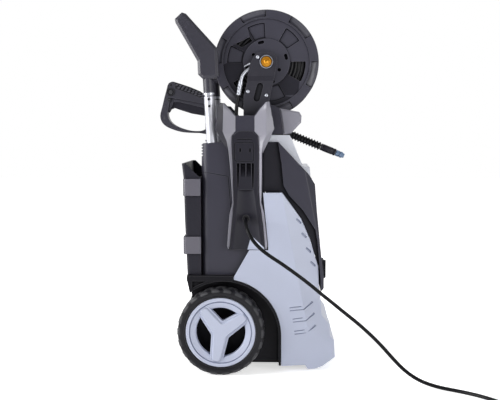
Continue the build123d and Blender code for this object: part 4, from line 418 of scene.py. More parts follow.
def moulding(
    node, looks, edge, extra=(), pick=None, angle=25.0, cuts=(), border=None, planar=0.6, broad=14.0,
):
    """The finished moulding that stands for a CAD node: a copy with its facets merged and its edges
    broken by edge millimetres. extra are plain pieces that belong to it. Facets that lie within planar
    degrees are merged, edges over angle degrees are broken, and creases between faces over broad mm stay
    sharp. pick gives a face's finish, as an index into looks, from its place in millimetres and its
    normal. cuts are planes, each a point and a normal, that part the faces for it. border holds a width
    in millimetres, an index into looks and a function that picks faces: each gets a border of that finish
    along its outline."""
    mesh = CAD[node].data.copy()
    mesh.materials.clear()
    for look in looks:
        mesh.materials.append(finish(look))
    bm = bmesh.new()
    bm.from_mesh(mesh)
    bmesh.ops.remove_doubles(bm, verts=bm.verts, dist=2e-5)
    bmesh.ops.dissolve_degenerate(bm, edges=bm.edges, dist=1e-5)
    bmesh.ops.dissolve_limit(
        bm, angle_limit=math.radians(planar), verts=bm.verts, edges=bm.edges, use_dissolve_boundaries=False,
    )
    for point, normal in cuts:
        everything = bm.verts[:] + bm.edges[:] + bm.faces[:]
        bmesh.ops.bisect_plane(bm, geom=everything, plane_co=Vector(point) * MM, plane_no=normal)
    if pick:
        for face in bm.faces:
            face.material_index = pick(face.calc_center_median() / MM, face.normal)
    if border:
        width, index, chosen = border
        floors = [face for face in bm.faces if chosen(face.calc_center_median() / MM, face.normal)]
        made = bmesh.ops.inset_individual(bm, faces=floors, thickness=width * MM, use_even_offset=True)
        for face in made["faces"]:
            face.material_index = index
    convex = [e for e in bm.edges if e.is_manifold and e.calc_face_angle_signed(0.0) > math.radians(angle)]
    bmesh.ops.bevel(
        bm, geom=convex, offset=edge * MM, offset_type="OFFSET", segments=1, profile=0.5, affect="EDGES",
        clamp_overlap=True, material=-1,
    )
    bm.to_mesh(mesh)
    bm.free()
    smooth_by_angle(mesh, FACET, broad)
    piece = linked(f"{node}_moulding", mesh)
    if extra:
        piece = joined(f"{node}_moulding", [piece, *extra])
    return stand_for(piece, node)


def tube(name, points, diameter, look, steps=12):
    """A round bar or hose along a smooth curve through a list of control points in millimetres."""
    curve = line_curve(name, "NURBS", points)
    curve.splines[0].order_u = 3
    curve.splines[0].use_endpoint_u = True
    curve.resolution_u = steps
    curve.bevel_depth = diameter / 2 * MM
    curve.bevel_resolution = 5
    curve.use_fill_caps = True
    curve.materials.append(finish(look))
    return linked(name, curve)


# ------------------------------------------------------------------ stage
EYE = (0.076, -2.300, 0.610)
YAW = math.radians(2.0)
PITCH = math.radians(4.49)
FLOOR_HALF = 9.0
# name, place, target, width in metres, watts
LAMPS = (
    ("Left", (-2.6, -1.1, 1.2), (0.0, 0.0, 0.5), 1.5, 80.0),
    ("Right", (1.7, -2.0, 0.9), (0.05, 0.0, 0.5), 1.5, 27.0),
    ("Front", (-0.4, -2.6, 1.9), (0.0, 0.0, 0.45), 1.4, 3.0),
    ("Back", (0.8, 2.2, 2.0), (0.0, 0.0, 0.5), 1.6, 14.0),
)


class WasherStudio(bpy.types.PropertyGroup):
    lens: bpy.props.FloatProperty(
        name="Lens", description="Focal length on a 36 mm sensor", default=61.92, min=10, max=300,
        unit="CAMERA",
    )
    floor: bpy.props.FloatVectorProperty(
        name="Floor", description="Colour of the floor", size=3, default=srgb("#fafafa"), subtype="COLOR",
    )


class WasherSizes(bpy.types.PropertyGroup):
    cord_diameter: bpy.props.FloatProperty(
        name="Cord diameter", description="Outside diameter of the power cord", default=0.009, min=0.005,
        max=0.015, unit="LENGTH", precision=4,
    )
    cord_length: bpy.props.FloatProperty(
        name="Cord length", description="Whole length of the power cord", default=5.0, min=1, max=20,
        unit="LENGTH",
    )
    hose_diameter: bpy.props.FloatProperty(
        name="Hose diameter", description="Outside diameter of the high-pressure hose", default=0.0095,
        min=0.006, max=0.02, unit="LENGTH", precision=4,
    )
    tread_blocks: bpy.props.IntProperty(
        name="Tread blocks", description="Blocks round one shoulder of a tyre", default=22, min=12, max=40,
    )


def aimed(name, data, place, way):
    """A camera or lamp that looks along a way."""
    made = linked(name, data)
    made.location = place
    made.rotation_euler = Vector(way).to_track_quat("-Z", "Y").to_euler()
    return made


class WASHER_OT_stage(bpy.types.Operator):
    """Make the camera, the floor and the soft studio light"""

    bl_idname = "washer.stage"
    bl_label = "Stage"

    def execute(self, context):
        scene = context.scene
        scene.view_settings.view_transform = "Standard"
        lens = bpy.data.cameras.new("Camera")
        lens.sensor_width = 36.0
        lens.lens = scene.washer_studio.lens
        lens.clip_start = 0.05
        lens.clip_end = 60.0
        way = (-math.sin(YAW) * math.cos(PITCH), math.cos(YAW) * math.cos(PITCH), -math.sin(PITCH))
        scene.camera = aimed("Camera", lens, EYE, way)
        for name, place, target, size, power in LAMPS:
            lamp = bpy.data.lights.new(name, "AREA")
            lamp.size = size
            lamp.energy = power
            aimed(name, lamp, place, Vector(target) - Vector(place))
        scene.world = self.room()
        corners = [(x * FLOOR_HALF, y * FLOOR_HALF, 0) for x, y in ((-1, -1), (1, -1), (1, 1), (-1, 1))]
        floor = mesh_piece("floor", corners, [(0, 1, 2, 3)])
        floor.data.materials.append(self.floor_paint(scene.washer_studio.floor))
        return {"FINISHED"}

    def room(self):
        """A white room whose open side is darker, so that bright metal has something to mirror."""
        world = bpy.data.worlds.new("Studio")
        tree = empty_tree(world)
        way = add(tree, "ShaderNodeTexCoord").outputs["Generated"]
        split = add(tree, "ShaderNodeSeparateXYZ", {"Vector": way})
        height = add(tree, "ShaderNodeMapRange", {
            "Value": split.outputs["Z"], "From Min": -0.3, "From Max": 0.9, "To Min": 0.06, "To Max": 0.34,
        })
        soft = add(tree, "ShaderNodeBackground", {"Color": WHITE, "Strength": height})
        open_side = add(tree, "ShaderNodeMapRange", {
            "Value": split.outputs["Y"], "From Min": -0.8, "From Max": 0.1, "To Min": 0.03, "To Max": 0.8,
        })
        mirrored = add(tree, "ShaderNodeBackground", {"Color": WHITE, "Strength": open_side})
        white = add(tree, "ShaderNodeBackground", {"Color": WHITE, "Strength": 1.0})
        path = add(tree, "ShaderNodeLightPath").outputs
        seen = add(tree, "ShaderNodeMath", {
            0: path["Is Camera Ray"], 1: path["Is Transmission Ray"],
        }, operation="MAXIMUM")
        first = add(tree, "ShaderNodeMixShader", {0: path["Is Glossy Ray"], 1: soft, 2: mirrored})
        both = add(tree, "ShaderNodeMixShader", {0: seen, 1: first, 2: white})
        add(tree, "ShaderNodeOutputWorld", {"Surface": both})
        return world

    def floor_paint(self, colour):
        """Matt white floor: it keeps the soft shadow by the object and fades to plain white away from it."""
        paint = bpy.data.materials.new("white floor paint, matt")
        tree = empty_tree(paint)
        place = add(tree, "ShaderNodeTexCoord").outputs["Object"]
        away = add(tree, "ShaderNodeVectorMath", {0: place}, operation="LENGTH")
        glow = add(tree, "ShaderNodeMapRange", {
            "Value": away, "From Min": 0.3, "From Max": 1.2, "To Min": 0.6, "To Max": 1.0,
        })
        path = add(tree, "ShaderNodeLightPath").outputs
        mirrored = add(tree, "ShaderNodeMath", {
            0: path["Is Glossy Ray"], 1: path["Is Transmission Ray"],
        }, operation="MAXIMUM")
        seen = add(tree, "ShaderNodeMath", {0: path["Is Camera Ray"], 1: mirrored}, operation="MAXIMUM")
        shown = add(tree, "ShaderNodeMath", {0: glow, 1: seen}, operation="MULTIPLY")
        lift = add(tree, "ShaderNodeEmission", {"Color": WHITE, "Strength": shown})
        matt = add(tree, "ShaderNodeBsdfDiffuse", {"Color": tinted(colour, 1.0)})
        total = add(tree, "ShaderNodeAddShader", {0: matt, 1: lift})
        add(tree, "ShaderNodeOutputMaterial", {"Surface": total})
        return paint


# ------------------------------------------------------------------ power cord
# the free part, from the side frame down to the floor
CORD_ROUTE = [
    (-9, -154, 394), (-9.3, -173, 392.5), (-8.4, -191.5, 387.5), (-5, -207, 376), (2, -217, 361),
    (13.5, -221.5, 343), (31, -222.5, 325), (55, -222, 307.5), (82, -221, 290), (114, -220, 267),
    (146, -219.5, 243), (177, -219.5, 217), (205, -219, 195), (233, -221, 172), (264, -224, 148),
    (294, -228, 122), (323, -233, 94), (350, -240, 64), (377, -250, 37), (410, -264, 16.5),
    (451, -282, 6.2), (496, -306, 4.6), (535, -338, 4.5), (567, -378, 4.5),
]
COIL_CENTRE = (655.0, -402.0)
COIL_R = 54.0         # middle of the turns
COIL_ROWS = 3         # turns side by side
COIL_LAYERS = 4
COIL_CORNERS = 16     # control points in a turn
COIL_ENTRY = 211.0    # degrees at which the cord comes in
COIL_SIDE = 68.5      # radius of the coil's outside
LEAD_OUT = 135.0      # degrees over which the last turn drops to the plug
PLUG_TURN = 240.0
PLUG_ROOT = 10.5
PLUG_HEIGHT = 18.2
PLUG_RIBS = 5
PLUG_PITCH = 3.6      # from rib to rib of the plug's bend relief
PLUG_RIB = [(0.2, 0.0), (2.2, 0.2), (2.4, -1.0), (3.5, -0.9)]
PLUG_BODY = [
    (18, 9.5), (20, 11.5), (26, 13.5), (34, 16.0), (42, 17.6), (47, 18.0), (50.5, 17.4), (52, 15.8),
]


def eased(value):
    """0 to 1, with a soft start and end."""
    value = min(1.0, max(0.0, value))
    return value * value * (3 - 2 * value)


class WASHER_OT_power_cord(bpy.types.Operator):
    """Lay the power cord down to the floor and wind the rest of it in a coil beside its plug"""

    bl_idname = "washer.power_cord"
    bl_label = "Power cord"

    def execute(self, context):
        sizes = context.scene.washer_sizes
        pitch = sizes.cord_diameter / MM
        root, way = self.plug_place(pitch)
        ends = [tuple(root + way * along) for along in (0.0, 14.0)]
        points = [*CORD_ROUTE, *self.coil(pitch), *ends]
        cord = tube("power_cord_line", points, pitch, "cord_pvc", 6)
        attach(cord, "machine")
        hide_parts("power_cord", "cord_coil")
        self.plug(root, way)
        return {"FINISHED"}

    def coil(self, pitch):
        """Turns side by side: out to in, up a layer, in to out. The last one drops outside the coil."""
        cx, cy = COIL_CENTRE
        points = []
        turns = COIL_ROWS * COIL_LAYERS
        whole = turns * 360.0 + PLUG_TURN - COIL_ENTRY
        count = round(whole / 360.0 * COIL_CORNERS)
        step = whole / count
        leave = COIL_SIDE + pitch / 2
        for k in range(count):
            swept = (k + 0.5) * step
            turn = min(int(swept / 360.0), turns - 1)
            part = swept / 360.0 - turn
            radius = self.row(turn, pitch)
            layer, place = divmod(turn, COIL_ROWS)
            height = (layer + 0.5) * pitch
            if turn < turns - 1:
                radius += (self.row(turn + 1, pitch) - radius) * eased((part - 0.75) / 0.25)
                if place == COIL_ROWS - 1:
                    height += pitch * eased((part - 0.45) / 0.3)
            left = (whole - swept) / LEAD_OUT
            if left < 1:
                radius += (leave - radius) * eased((1.0 - left) / 0.45)
                height += (PLUG_HEIGHT - height) * eased((1.0 - left - 0.2) / 0.8)
            angle = math.radians(COIL_ENTRY + swept)
            reach = radius / math.cos(math.radians(step / 2))
            points.append((cx + reach * math.cos(angle), cy + reach * math.sin(angle), height))
        return points

    def row(self, turn, pitch):
        """Radius of a turn of the coil."""
        layer, place = divmod(turn, COIL_ROWS)
        across = COIL_ROWS - 1 - place if layer % 2 == 0 else place
        return COIL_R + (across - (COIL_ROWS - 1) / 2) * pitch

    def plug_place(self, pitch):
        """Root of the plug's bend relief and the way it points."""
        turn = math.radians(PLUG_TURN)
        out = Vector((math.cos(turn), math.sin(turn), 0))
        way = Vector((-out.y, out.x, 0))
        root = Vector((*COIL_CENTRE, PLUG_HEIGHT)) + out * (COIL_SIDE + pitch / 2) + way * PLUG_ROOT
        return root, way

    def plug(self, root, way):
        """Moulded plug: ribbed bend relief, waisted body and a flat face that holds two pins."""
        profile = [(0, 4.9)]
        for rib in range(PLUG_RIBS):
            at = rib * PLUG_PITCH
            grow = 5.4 + rib * 0.45
            for along, radius in PLUG_RIB:
                profile.append((at + along, grow + radius))
        return stand_for(lathe("plug", profile + PLUG_BODY, root, way, 40, "hose_rubber"), "plug_body")


# ------------------------------------------------------------------ housings
BANDS = ((449.0, 493.0), (301.0, 346.0))  # foot and head of the bin's bands
BAND_SIDE = 133.0     # their sides lie beyond it
BAND_BACK = -169.0    # and their backs behind it
SEAL = [(45.5, 602.6), (100.5, 602.6), (106.0, 609.6), (84.0, 607.5), (45.5, 606.0)]
SEAL_HALF = 112.0
SUNKEN_HALF = 122.0   # the fascia's sunken bands lie within it
RIDGE_FOOT = 143.2    # the ridges of the side frames stand out beyond it
RIDGE_GAP = -20.0     # the rear ridge lies behind it, the front one ahead
RIDGE_HEAD = 560.0    # above it and below RIDGE_TOE the front prong's outer side is grey
RIDGE_TOE = 425.0
# corners of the pale foot of the inset: at the cord's way out, behind it and ahead of it
CHANNEL_FOOT = ((3.6, -146.0, 350.2), (-4.5, -146.0, 319.9), (36.4, -146.0, 320.1))


class WASHER_OT_housings(bpy.types.Operator):
    """Mould the tub, rear housing, deck, cover, fascia, hood and console"""

    bl_idname = "washer.housings"
    bl_label = "Housings"

    def execute(self, context):
        # the tub's blacker polypropylene is painted shade
        moulding("chassis_tray", ["shaded_tub_pp"], 1.4)
        moulding("rear_housing", ["charcoal_abs"], 1.4)
        moulding("top_deck", ["charcoal_abs"], 1.2)
        moulding("front_cover", ["grey_abs"], 1.2)
        # the fascia's sunken band is painted black: painted shade
        moulding("front_fascia", ["charcoal_abs", "black_pp"], 1.6, pick=self.on_shaded_band, angle=18.0)
        moulding("console_face", ["frame_abs"], 2.0)
        # a rubber seal closes the joint between hood and console
        seal = plate("seal", SEAL, -SEAL_HALF, SEAL_HALF, 0.4, "soft_rubber")
        # the hood's paler ABS is painted light against the shade of the console above it
        moulding("hood_panel", ["hood_light_abs"], 1.2, [seal])
        return {"FINISHED"}

    def on_shaded_band(self, place, normal):
        """1 on the fascia's sunken side band, painted black as painted shade in its recess."""
        return int(abs(normal.y) > 0.9 and abs(place.y) < SUNKEN_HALF)


class WASHER_OT_bin(bpy.types.Operator):
    """Mould the open accessory bin with its two raised bands"""

    bl_idname = "washer.bin"
    bl_label = "Accessory bin"

    def execute(self, context):
        # the bands get a paler copy of the charcoal: painted highlight
        moulding("accessory_bin", ["black_pp", "band_highlight_abs"], 1.5, pick=self.on_band)
        return {"FINISHED"}

    def on_band(self, place, normal):
        """1 on the raised bands, which are painted paler as a painted highlight."""
        outside = abs(place.y) > BAND_SIDE or (place.x < BAND_BACK and normal.x < -0.9)
        return int(any(low - 1 < place.z < high + 1 for low, high in BANDS) and outside)


class WASHER_OT_side_frames(bpy.types.Operator):
    """Mould both forked side frames, grey on their ridges, and their black insets"""

    bl_idname = "washer.side_frames"
    bl_label = "Side frames"

    def execute(self, context):
        ahead, behind, foot = (Vector(point) for point in CHANNEL_FOOT)
        side, low = behind - ahead, foot - ahead
        for sign, name in ((1, "right"), (-1, "left")):
            looks = ["charcoal_abs", "frame_abs", "black_pp"]
            moulding(f"spine_{name}", looks, 1.0, pick=self.on_ridge, broad=5.0)
            start = Vector((ahead.x, sign * ahead.y, ahead.z))
            cuts = [(start, (side.z, 0, -side.x)), (start, (low.z, 0, -low.x))]
            moulding(f"spine_insert_{name}", ["black_pp", "grey_abs"], 1.0, pick=self.on_foot, cuts=cuts)
        return {"FINISHED"}

    def on_ridge(self, place, normal):
        """1 on the grey facets: the ridges' inner sides and crests, and the front prong's outer side at
        its head and foot. 2 on the rear ridge's outer side, which stays black."""
        if abs(place.y) < RIDGE_FOOT:
            return 0
        rear = place.x < RIDGE_GAP
        inwards = normal.x > 0.02 if rear else normal.x < -0.02
        if abs(normal.y) > 0.995 or inwards:
            return 1
        return 2 if rear else int(place.z > RIDGE_HEAD or place.z < RIDGE_TOE)

    def on_foot(self, place, normal):
        """1 on the pale corner of the inset's foot, ahead of the cord's way out and below it."""
        (x0, _, z0), (x1, _, z1), (x2, _, z2) = CHANNEL_FOOT
        ahead = (place.x - x0) * (z1 - z0) - (place.z - z0) * (x1 - x0) < 0
        below = (place.x - x0) * (z2 - z0) - (place.z - z0) * (x2 - x0) > 0
        return int(ahead and place.z < z0 and below)


# ------------------------------------------------------------------ repeated pieces
def copies_tree(name, extra, place_points):
    """The node tree that puts copies of a block on points, made when it is first asked for. extra holds
    its own inputs, and place_points adds the nodes that give the points and the turn of each copy."""
    tree = bpy.data.node_groups.get(name)
    if tree:
        return tree
    tree = bpy.data.node_groups.new(name, "GeometryNodeTree")
    for label, kind in {"Block": "Object", "Count": "Int", **extra, "Finish": "Material"}.items():
        tree.interface.new_socket(name=label, in_out="INPUT", socket_type=f"NodeSocket{kind}")
    tree.interface.new_socket(name="Geometry", in_out="OUTPUT", socket_type="NodeSocketGeometry")
    given = add(tree, "NodeGroupInput").outputs
    shape = add(tree, "GeometryNodeObjectInfo", {"Object": given["Block"]}).outputs["Geometry"]
    placed = place_points(tree, given)
    copies = add(tree, "GeometryNodeInstanceOnPoints", {"Instance": shape, **placed})
    real = add(tree, "GeometryNodeRealizeInstances", {"Geometry": copies})
    painted = add(tree, "GeometryNodeSetMaterial", {"Geometry": real, "Material": given["Finish"]})
    add(tree, "NodeGroupOutput", {"Geometry": painted})
    return tree


def grown(name, tree, look, **inputs):
    """The tree's result as a plain mesh object. The objects that it reads are removed."""
    holder = linked(name, bpy.data.meshes.new(name))
    modifier = holder.modifiers.new("Nodes", "NODES")
    modifier.node_group = tree
    values = {"Finish": finish(look), **inputs}
    for item in tree.interface.items_tree:
        if item.in_out == "INPUT":
            modifier[item.identifier] = values[item.name]
    made = applied(holder)
    for given in inputs.values():
        if isinstance(given, bpy.types.Object):
            bpy.data.objects.remove(given)
    return made


def on_ring(tree, given):
    """Points at the centre, each turned further about the axis."""
    points = add(tree, "GeometryNodeMeshLine", {"Count": given["Count"], "Offset": (0, 0, 0)})
    moved = add(tree, "GeometryNodeSetPosition", {"Geometry": points, "Position": given["Centre"]})
    share = add(tree, "ShaderNodeMath", {0: 2 * math.pi, 1: given["Count"]}, operation="DIVIDE")
    index = add(tree, "GeometryNodeInputIndex")
    angle = add(tree, "ShaderNodeMath", {0: index, 1: share, 2: given["Start"]}, operation="MULTIPLY_ADD")
    turn = add(tree, "FunctionNodeAxisAngleToRotation", {"Axis": given["Axis"], "Angle": angle})
    return {"Points": moved, "Rotation": turn}


def on_row(tree, given):
    """Points at equal steps from the first one."""
    links = {"Count": given["Count"], "Start Location": given["First"], "Offset": given["Step"]}
    return {"Points": add(tree, "GeometryNodeMeshLine", links)}


def on_line(tree, given):
    """Points spaced along a line, each turned to follow it."""
    line = add(tree, "GeometryNodeObjectInfo", {"Object": given["Line"]}).outputs["Geometry"]
    spaced = add(tree, "GeometryNodeResampleCurve", {"Curve": line, "Count": given["Count"]})
    way = add(tree, "GeometryNodeInputTangent")
    turn = add(tree, "FunctionNodeAlignRotationToVector", {"Vector": way}, axis="X", pivot_axis="Y")
    return {"Points": spaced, "Rotation": turn}


def ring_of(name, block, centre, count, start, look):
    """Copies of a block turned about the machine's side-to-side axis through centre."""
    own = {"Centre": "Vector", "Axis": "Vector", "Start": "Float"}
    tree = copies_tree("Ring of copies", own, on_ring)
    middle = tuple(c * MM for c in centre)
    return grown(name, tree, look, Block=block, Count=count, Centre=middle, Axis=(0, 1, 0), Start=start)


def row_of(name, block, count, first, step, look):
    """Copies of a block along a straight line."""
    tree = copies_tree("Row of copies", {"First": "Vector", "Step": "Vector"}, on_row)
    return grown(name, tree, look, Block=block, Count=count, First=tuple(first * MM), Step=tuple(step * MM))


def along_line(name, block, points, count, look):
    """Copies of a block spaced along a line through points across X and Z."""
    tree = copies_tree("Copies along a line", {"Line": "Object"}, on_line)
    line = linked(name, line_curve(name, "POLY", [(x, 0, z) for x, z in points]))
    return grown(name, tree, look, Block=block, Count=count, Line=line)


# ------------------------------------------------------------------ wheels
AXLE = Vector((-72.0, 110.0))
WHEEL_IN = 125.0      # sides of a wheel, from the machine's middle
WHEEL_OUT = 185.0
SPOKES = (33.5, 127.5, 261.0)
SPOKE_SHOULDER = 9.0  # length of a spoke's narrowing end
# reach of the spokes, half their width at the hub and at the end
STAR = (78, 23, 16.5)
CROWN = (76, 18.5, 11.5)
# half of the tyre's section, from the bead over the shoulder to the crown: along the axle, radius
TYRE_HALF = [
    (27.0, 88.4), (28.6, 89.6), (29.3, 91.5), (28.7, 93.0), (29.5, 94.4), (29.9, 98.0), (29.7, 102.4),
    (28.2, 105.8), (24.6, 107.9), (18.0, 108.5), (8.0, 108.8), (0.0, 108.9),
]
SHOULDER_BLOCK = [(7.5, 105.5), (9.0, 109.6), (22.0, 109.4), (27.6, 107.2), (29.9, 103.0), (27.0, 101.5)]
CENTRE_BLOCK = [(-5.5, -3.0), (-2.0, -6.5), (5.5, -3.5), (5.5, 3.0), (2.0, 6.5), (-5.5, 3.5)]
# rounded lip, flat band, step groove, then a slope into the opening
RIM_RING = [
    (127, 88.0), (181.0, 88.0), (182.8, 87.2), (183.4, 85.6), (183.4, 79.6), (182.8, 78.8), (180.2, 78.4),
    (180.0, 76.8), (182.0, 76.2), (181.8, 75.0), (178.6, 64.5), (177.4, 63.0), (175.6, 62.2), (166.0, 61.6),
    (164.0, 64.0), (164.0, 82.0), (127, 84.0), (127, 88.0),
]
RIM_HUB = [(126, 8.0), (126, 16.5), (170, 17.5), (170, 8.0), (126, 8.0)]


def spoke_star(reach, half_hub, half_end):
    """Outline of the three spokes in one piece: tapered arms that meet at the hub. The third number of a
    point is its radius."""
    ways = [Vector((math.cos(math.radians(angle)), math.sin(math.radians(angle)))) for angle in SPOKES]
    outline = []
    for way, after in zip(ways, ways[1:] + ways[:1]):
        side, far = Vector((-way.y, way.x)), Vector((after.y, -after.x))
        tip, shoulder = way * reach, way * (reach - SPOKE_SHOULDER) + side * half_end
        outline.append((*(tip - side * half_end * 0.72 + AXLE), 2.5))
        outline.append((*(tip + side * half_end * 0.72 + AXLE), 2.5))
        outline.append((*(shoulder + AXLE), 2.5))
        # the side lines of both spokes run from hub to shoulder and meet in a wide corner
        start, other_start = side * half_hub, far * half_hub
        end, other_end = shoulder, after * (reach - SPOKE_SHOULDER) + far * half_end
        run, other_run = end - start, other_end - other_start
        t = (other_start - start).cross(other_run) / run.cross(other_run)
        outline.append((*(start + run * t + AXLE), 7.0))
        outline.append((*(other_end + AXLE), 2.5))
    return rounded(outline, 3.0)


def block_piece(sections, width):
    """A tread block between two sections of points in metres, its edges broken by width."""
    count = len(sections[0])
    faces = [(k, (k + 1) % count, count + (k + 1) % count, count + k) for k in range(count)]
    faces += [tuple(range(count)), tuple(range(count, 2 * count))]
    block = mesh_piece("block", sections[0] + sections[1], faces)
    bevel = block.modifiers.new("Edge", "BEVEL")
    bevel.width = width * MM
    bevel.segments = 1
    bevel.limit_method = "ANGLE"
    bevel.angle_limit = math.radians(25)
    made = applied(block)
    smooth_by_angle(made.data, 40)
    return made


class WASHER_OT_wheels(bpy.types.Operator):
    """Make both wheels: tyres with tread blocks, dished rims and three-armed spokes"""

    bl_idname = "washer.wheels"
    bl_label = "Wheels"

    def execute(self, context):
        for side, sign in (("right", -1), ("left", 1)):
            self.tyre(side, sign, context.scene.washer_sizes.tread_blocks)
            self.rim(side, sign)
        return {"FINISHED"}

    def tyre(self, side, sign, blocks):
        centre = (AXLE.x, (WHEEL_IN + WHEEL_OUT) / 2 * sign, AXLE.y)
        profile = TYRE_HALF + [(-along, radius) for along, radius in reversed(TYRE_HALF[:-1])] + TYRE_HALF[:1]
        pieces = [lathe("body", profile, centre, (0, 1, 0), 96, "tyre_rubber")]
        pitch = 2 * math.pi / blocks
        for row, shift in ((1, 0.0), (-1, 0.5)):
            block = self.shoulder_block(row)
            pieces.append(ring_of("shoulder", block, centre, blocks, shift * pitch, "tyre_rubber"))
        block = self.centre_block()
        pieces.append(ring_of("crown", block, centre, blocks * 2, 0.25 * pitch, "tyre_rubber"))
        stand_for(joined(f"tyre_{side}_tread", pieces), f"tyre_{side}", "tyre_rubber")

    def shoulder_block(self, row):
        """One block that wraps over the tyre's shoulder, about the wheel's centre."""
        sections = []
        for edge in (-1, 1):
            section = []
            for along, radius in SHOULDER_BLOCK:
                half = 9.5 - 0.3 * (radius - 104)
                lean = 3.2 * (along - 18) / 11
                section.append(((edge * half + lean) * MM, row * along * MM, radius * MM))
            sections.append(section)
        return block_piece(sections, 0.7)

    def centre_block(self):
        """One leaning block of the crown's double row."""
        sections = []
        for radius, grow in ((105.5, 1.0), (109.6, 0.86)):
            sections.append([(x * grow * MM, y * grow * MM, radius * MM) for x, y in CENTRE_BLOCK])
        return block_piece(sections, 0.6)

    def rim(self, side, sign):
        """Dished ring with a flat star of spokes, a raised narrower star on it, and the hub behind."""
        centre = (AXLE.x, 0, AXLE.y)
        axis = (0, sign, 0)
        ring = lathe("ring", RIM_RING, centre, axis, 120, "grey_abs", 20.0)
        star = plate("star", spoke_star(*STAR), sign * 165, sign * 180.6, 1.2, "grey_abs", 1, 12.0)
        crown = plate("crown", spoke_star(*CROWN), sign * 176, sign * 184.4, 3.2, "grey_abs", 1, 12.0)
        hub = lathe("hub", RIM_HUB, centre, axis, 40, "grey_abs")
        stand_for(joined(f"rim_{side}_face", [ring, star, crown, hub]), f"rim_{side}", "grey_abs")


# ------------------------------------------------------------------ reel
REEL = (40.5, 789.0)
HUB_R = 22.0
DRUM_R = 60.0
PACK_R = 103.0
BAND_R = 110.5
RIM_R = 134.0
FLANGE_OUT = 80.0
FLANGE_WALL = 8.0
HUB_FLOOR = 73.5      # the hub's blind slots end there
BAND_FOOT = 74.5      # the sloping band lies outside it
BAND_FALL = 6.0       # fall of the band over its width
POCKET = 5.0          # depth of the pockets
POCKETS = (62.0, 100.0)
NOTCH = 3.5           # depth of the rim's notches
NOTCHES = 115.0       # they lie beyond it
HOSE_PLAY = 2.2       # gap between flange and hose
CORE_PLAY = 1.0       # gap between drum and hose
SWIVEL_FACE = -96.0
# head of a screw with its hex socket: along, radius
SCREW = [(-0.1, 4.3), (1.3, 4.3), (2.2, 3.9), (2.8, 3.0), (3.0, 2.0), (2.0, 1.9), (1.9, 0.0)]
SCREW_SPOTS = ((-6, 714, 100.0), (41, 704, 100.0), (18.5, 801, 96.0))
# outline of the thin black plate behind a bracket's slot: painted shade
SLOT_SHADE = [(6.0, 690.0), (24.0, 686.0), (35.0, 736.0), (17.0, 740.0)]
LOCK_RING = [(0.2, 16.8), (3.6, 16.8), (4.9, 16.2), (4.9, 15.2), (1.2, 14.9), (0.2, 14.9), (0.2, 16.8)]
# from the seat in the hub to the domed cap
SWIVEL = [
    (-82.0, 6.4), (-82.0, 14.4), (-90.8, 14.4), (-90.9, 10.9), (-96.4, 10.9), (-96.5, 13.2), (-101.2, 13.2),
    (-102.4, 12.2), (-102.7, 9.6), (-101.8, 9.0), (-102.2, 6.6), (-103.4, 5.8), (-104.6, 3.4), (-104.9, 0.0),
]
PIPE_Y = -87.0
PIPE = ((27.4, 782), (8, 775.2), (-6, 770), (-16, 762), (-22.7, 751), (-25.4, 737))
PIPE_CLIP = [(-16.0, 776.0), (-1.0, 783.5), (-0.4, 785.8), (-1.8, 787.0), (-15.6, 779.2)]


def reel_reach(place):
    """Distance of a place in millimetres from the reel's axis."""
    return math.hypot(place.x - REEL[0], place.z - REEL[1])


class WASHER_OT_reel(bpy.types.Operator):
    """Mould the reel's flanges with their sloping bands, and its drum and crank"""

    bl_idname = "washer.reel"
    bl_label = "Hose reel"

    def execute(self, context):
        # painted shade: a black border round the pocket and notch floors, and black in the hub's slots
        border = (2.4, 1, self.on_floor)
        for side in ("right", "left"):
            looks = ["reel_pa", "black_pp"]
            self.slope(moulding(f"reel_flange_{side}", looks, 1.3, pick=self.in_hub, border=border))
        moulding("reel_drum", ["reel_pa"], 0.8)
        moulding("reel_crank", ["powder_coat"], 0.8)
        moulding("crank_knob", ["black_pp"], 1.0)
        return {"FINISHED"}

    def in_hub(self, place, normal):
        """1 on the floors and walls of the hub's blind slots and holes, painted black as painted shade."""
        return int(HUB_R < reel_reach(place) < DRUM_R and HUB_FLOOR < abs(place.y) < FLANGE_OUT - 0.5)

    def on_floor(self, place, normal):
        """True on the floors of the pockets and notches. Their black border is painted shade along the foot
        of their walls.
        """
        reach = reel_reach(place)
        depth = FLANGE_OUT - abs(place.y)
        pocket = abs(depth - POCKET) < 0.2 and POCKETS[0] < reach < POCKETS[1]
        notch = abs(depth - NOTCH) < 0.2 and reach > NOTCHES
        return normal.y * place.y > 0 and (pocket or notch)

    def slope(self, flange):
        """The band falls away towards the rim, so that it catches the light from the side."""
        for vertex in flange.data.vertices:
            place = vertex.co / MM
            beyond = reel_reach(place) - BAND_R
            if beyond > 0 and abs(place.y) > BAND_FOOT:
                fall = BAND_FALL * beyond / (RIM_R - BAND_R)
                vertex.co.y = math.copysign(abs(place.y) - fall, place.y) * MM
        flange.data.update()


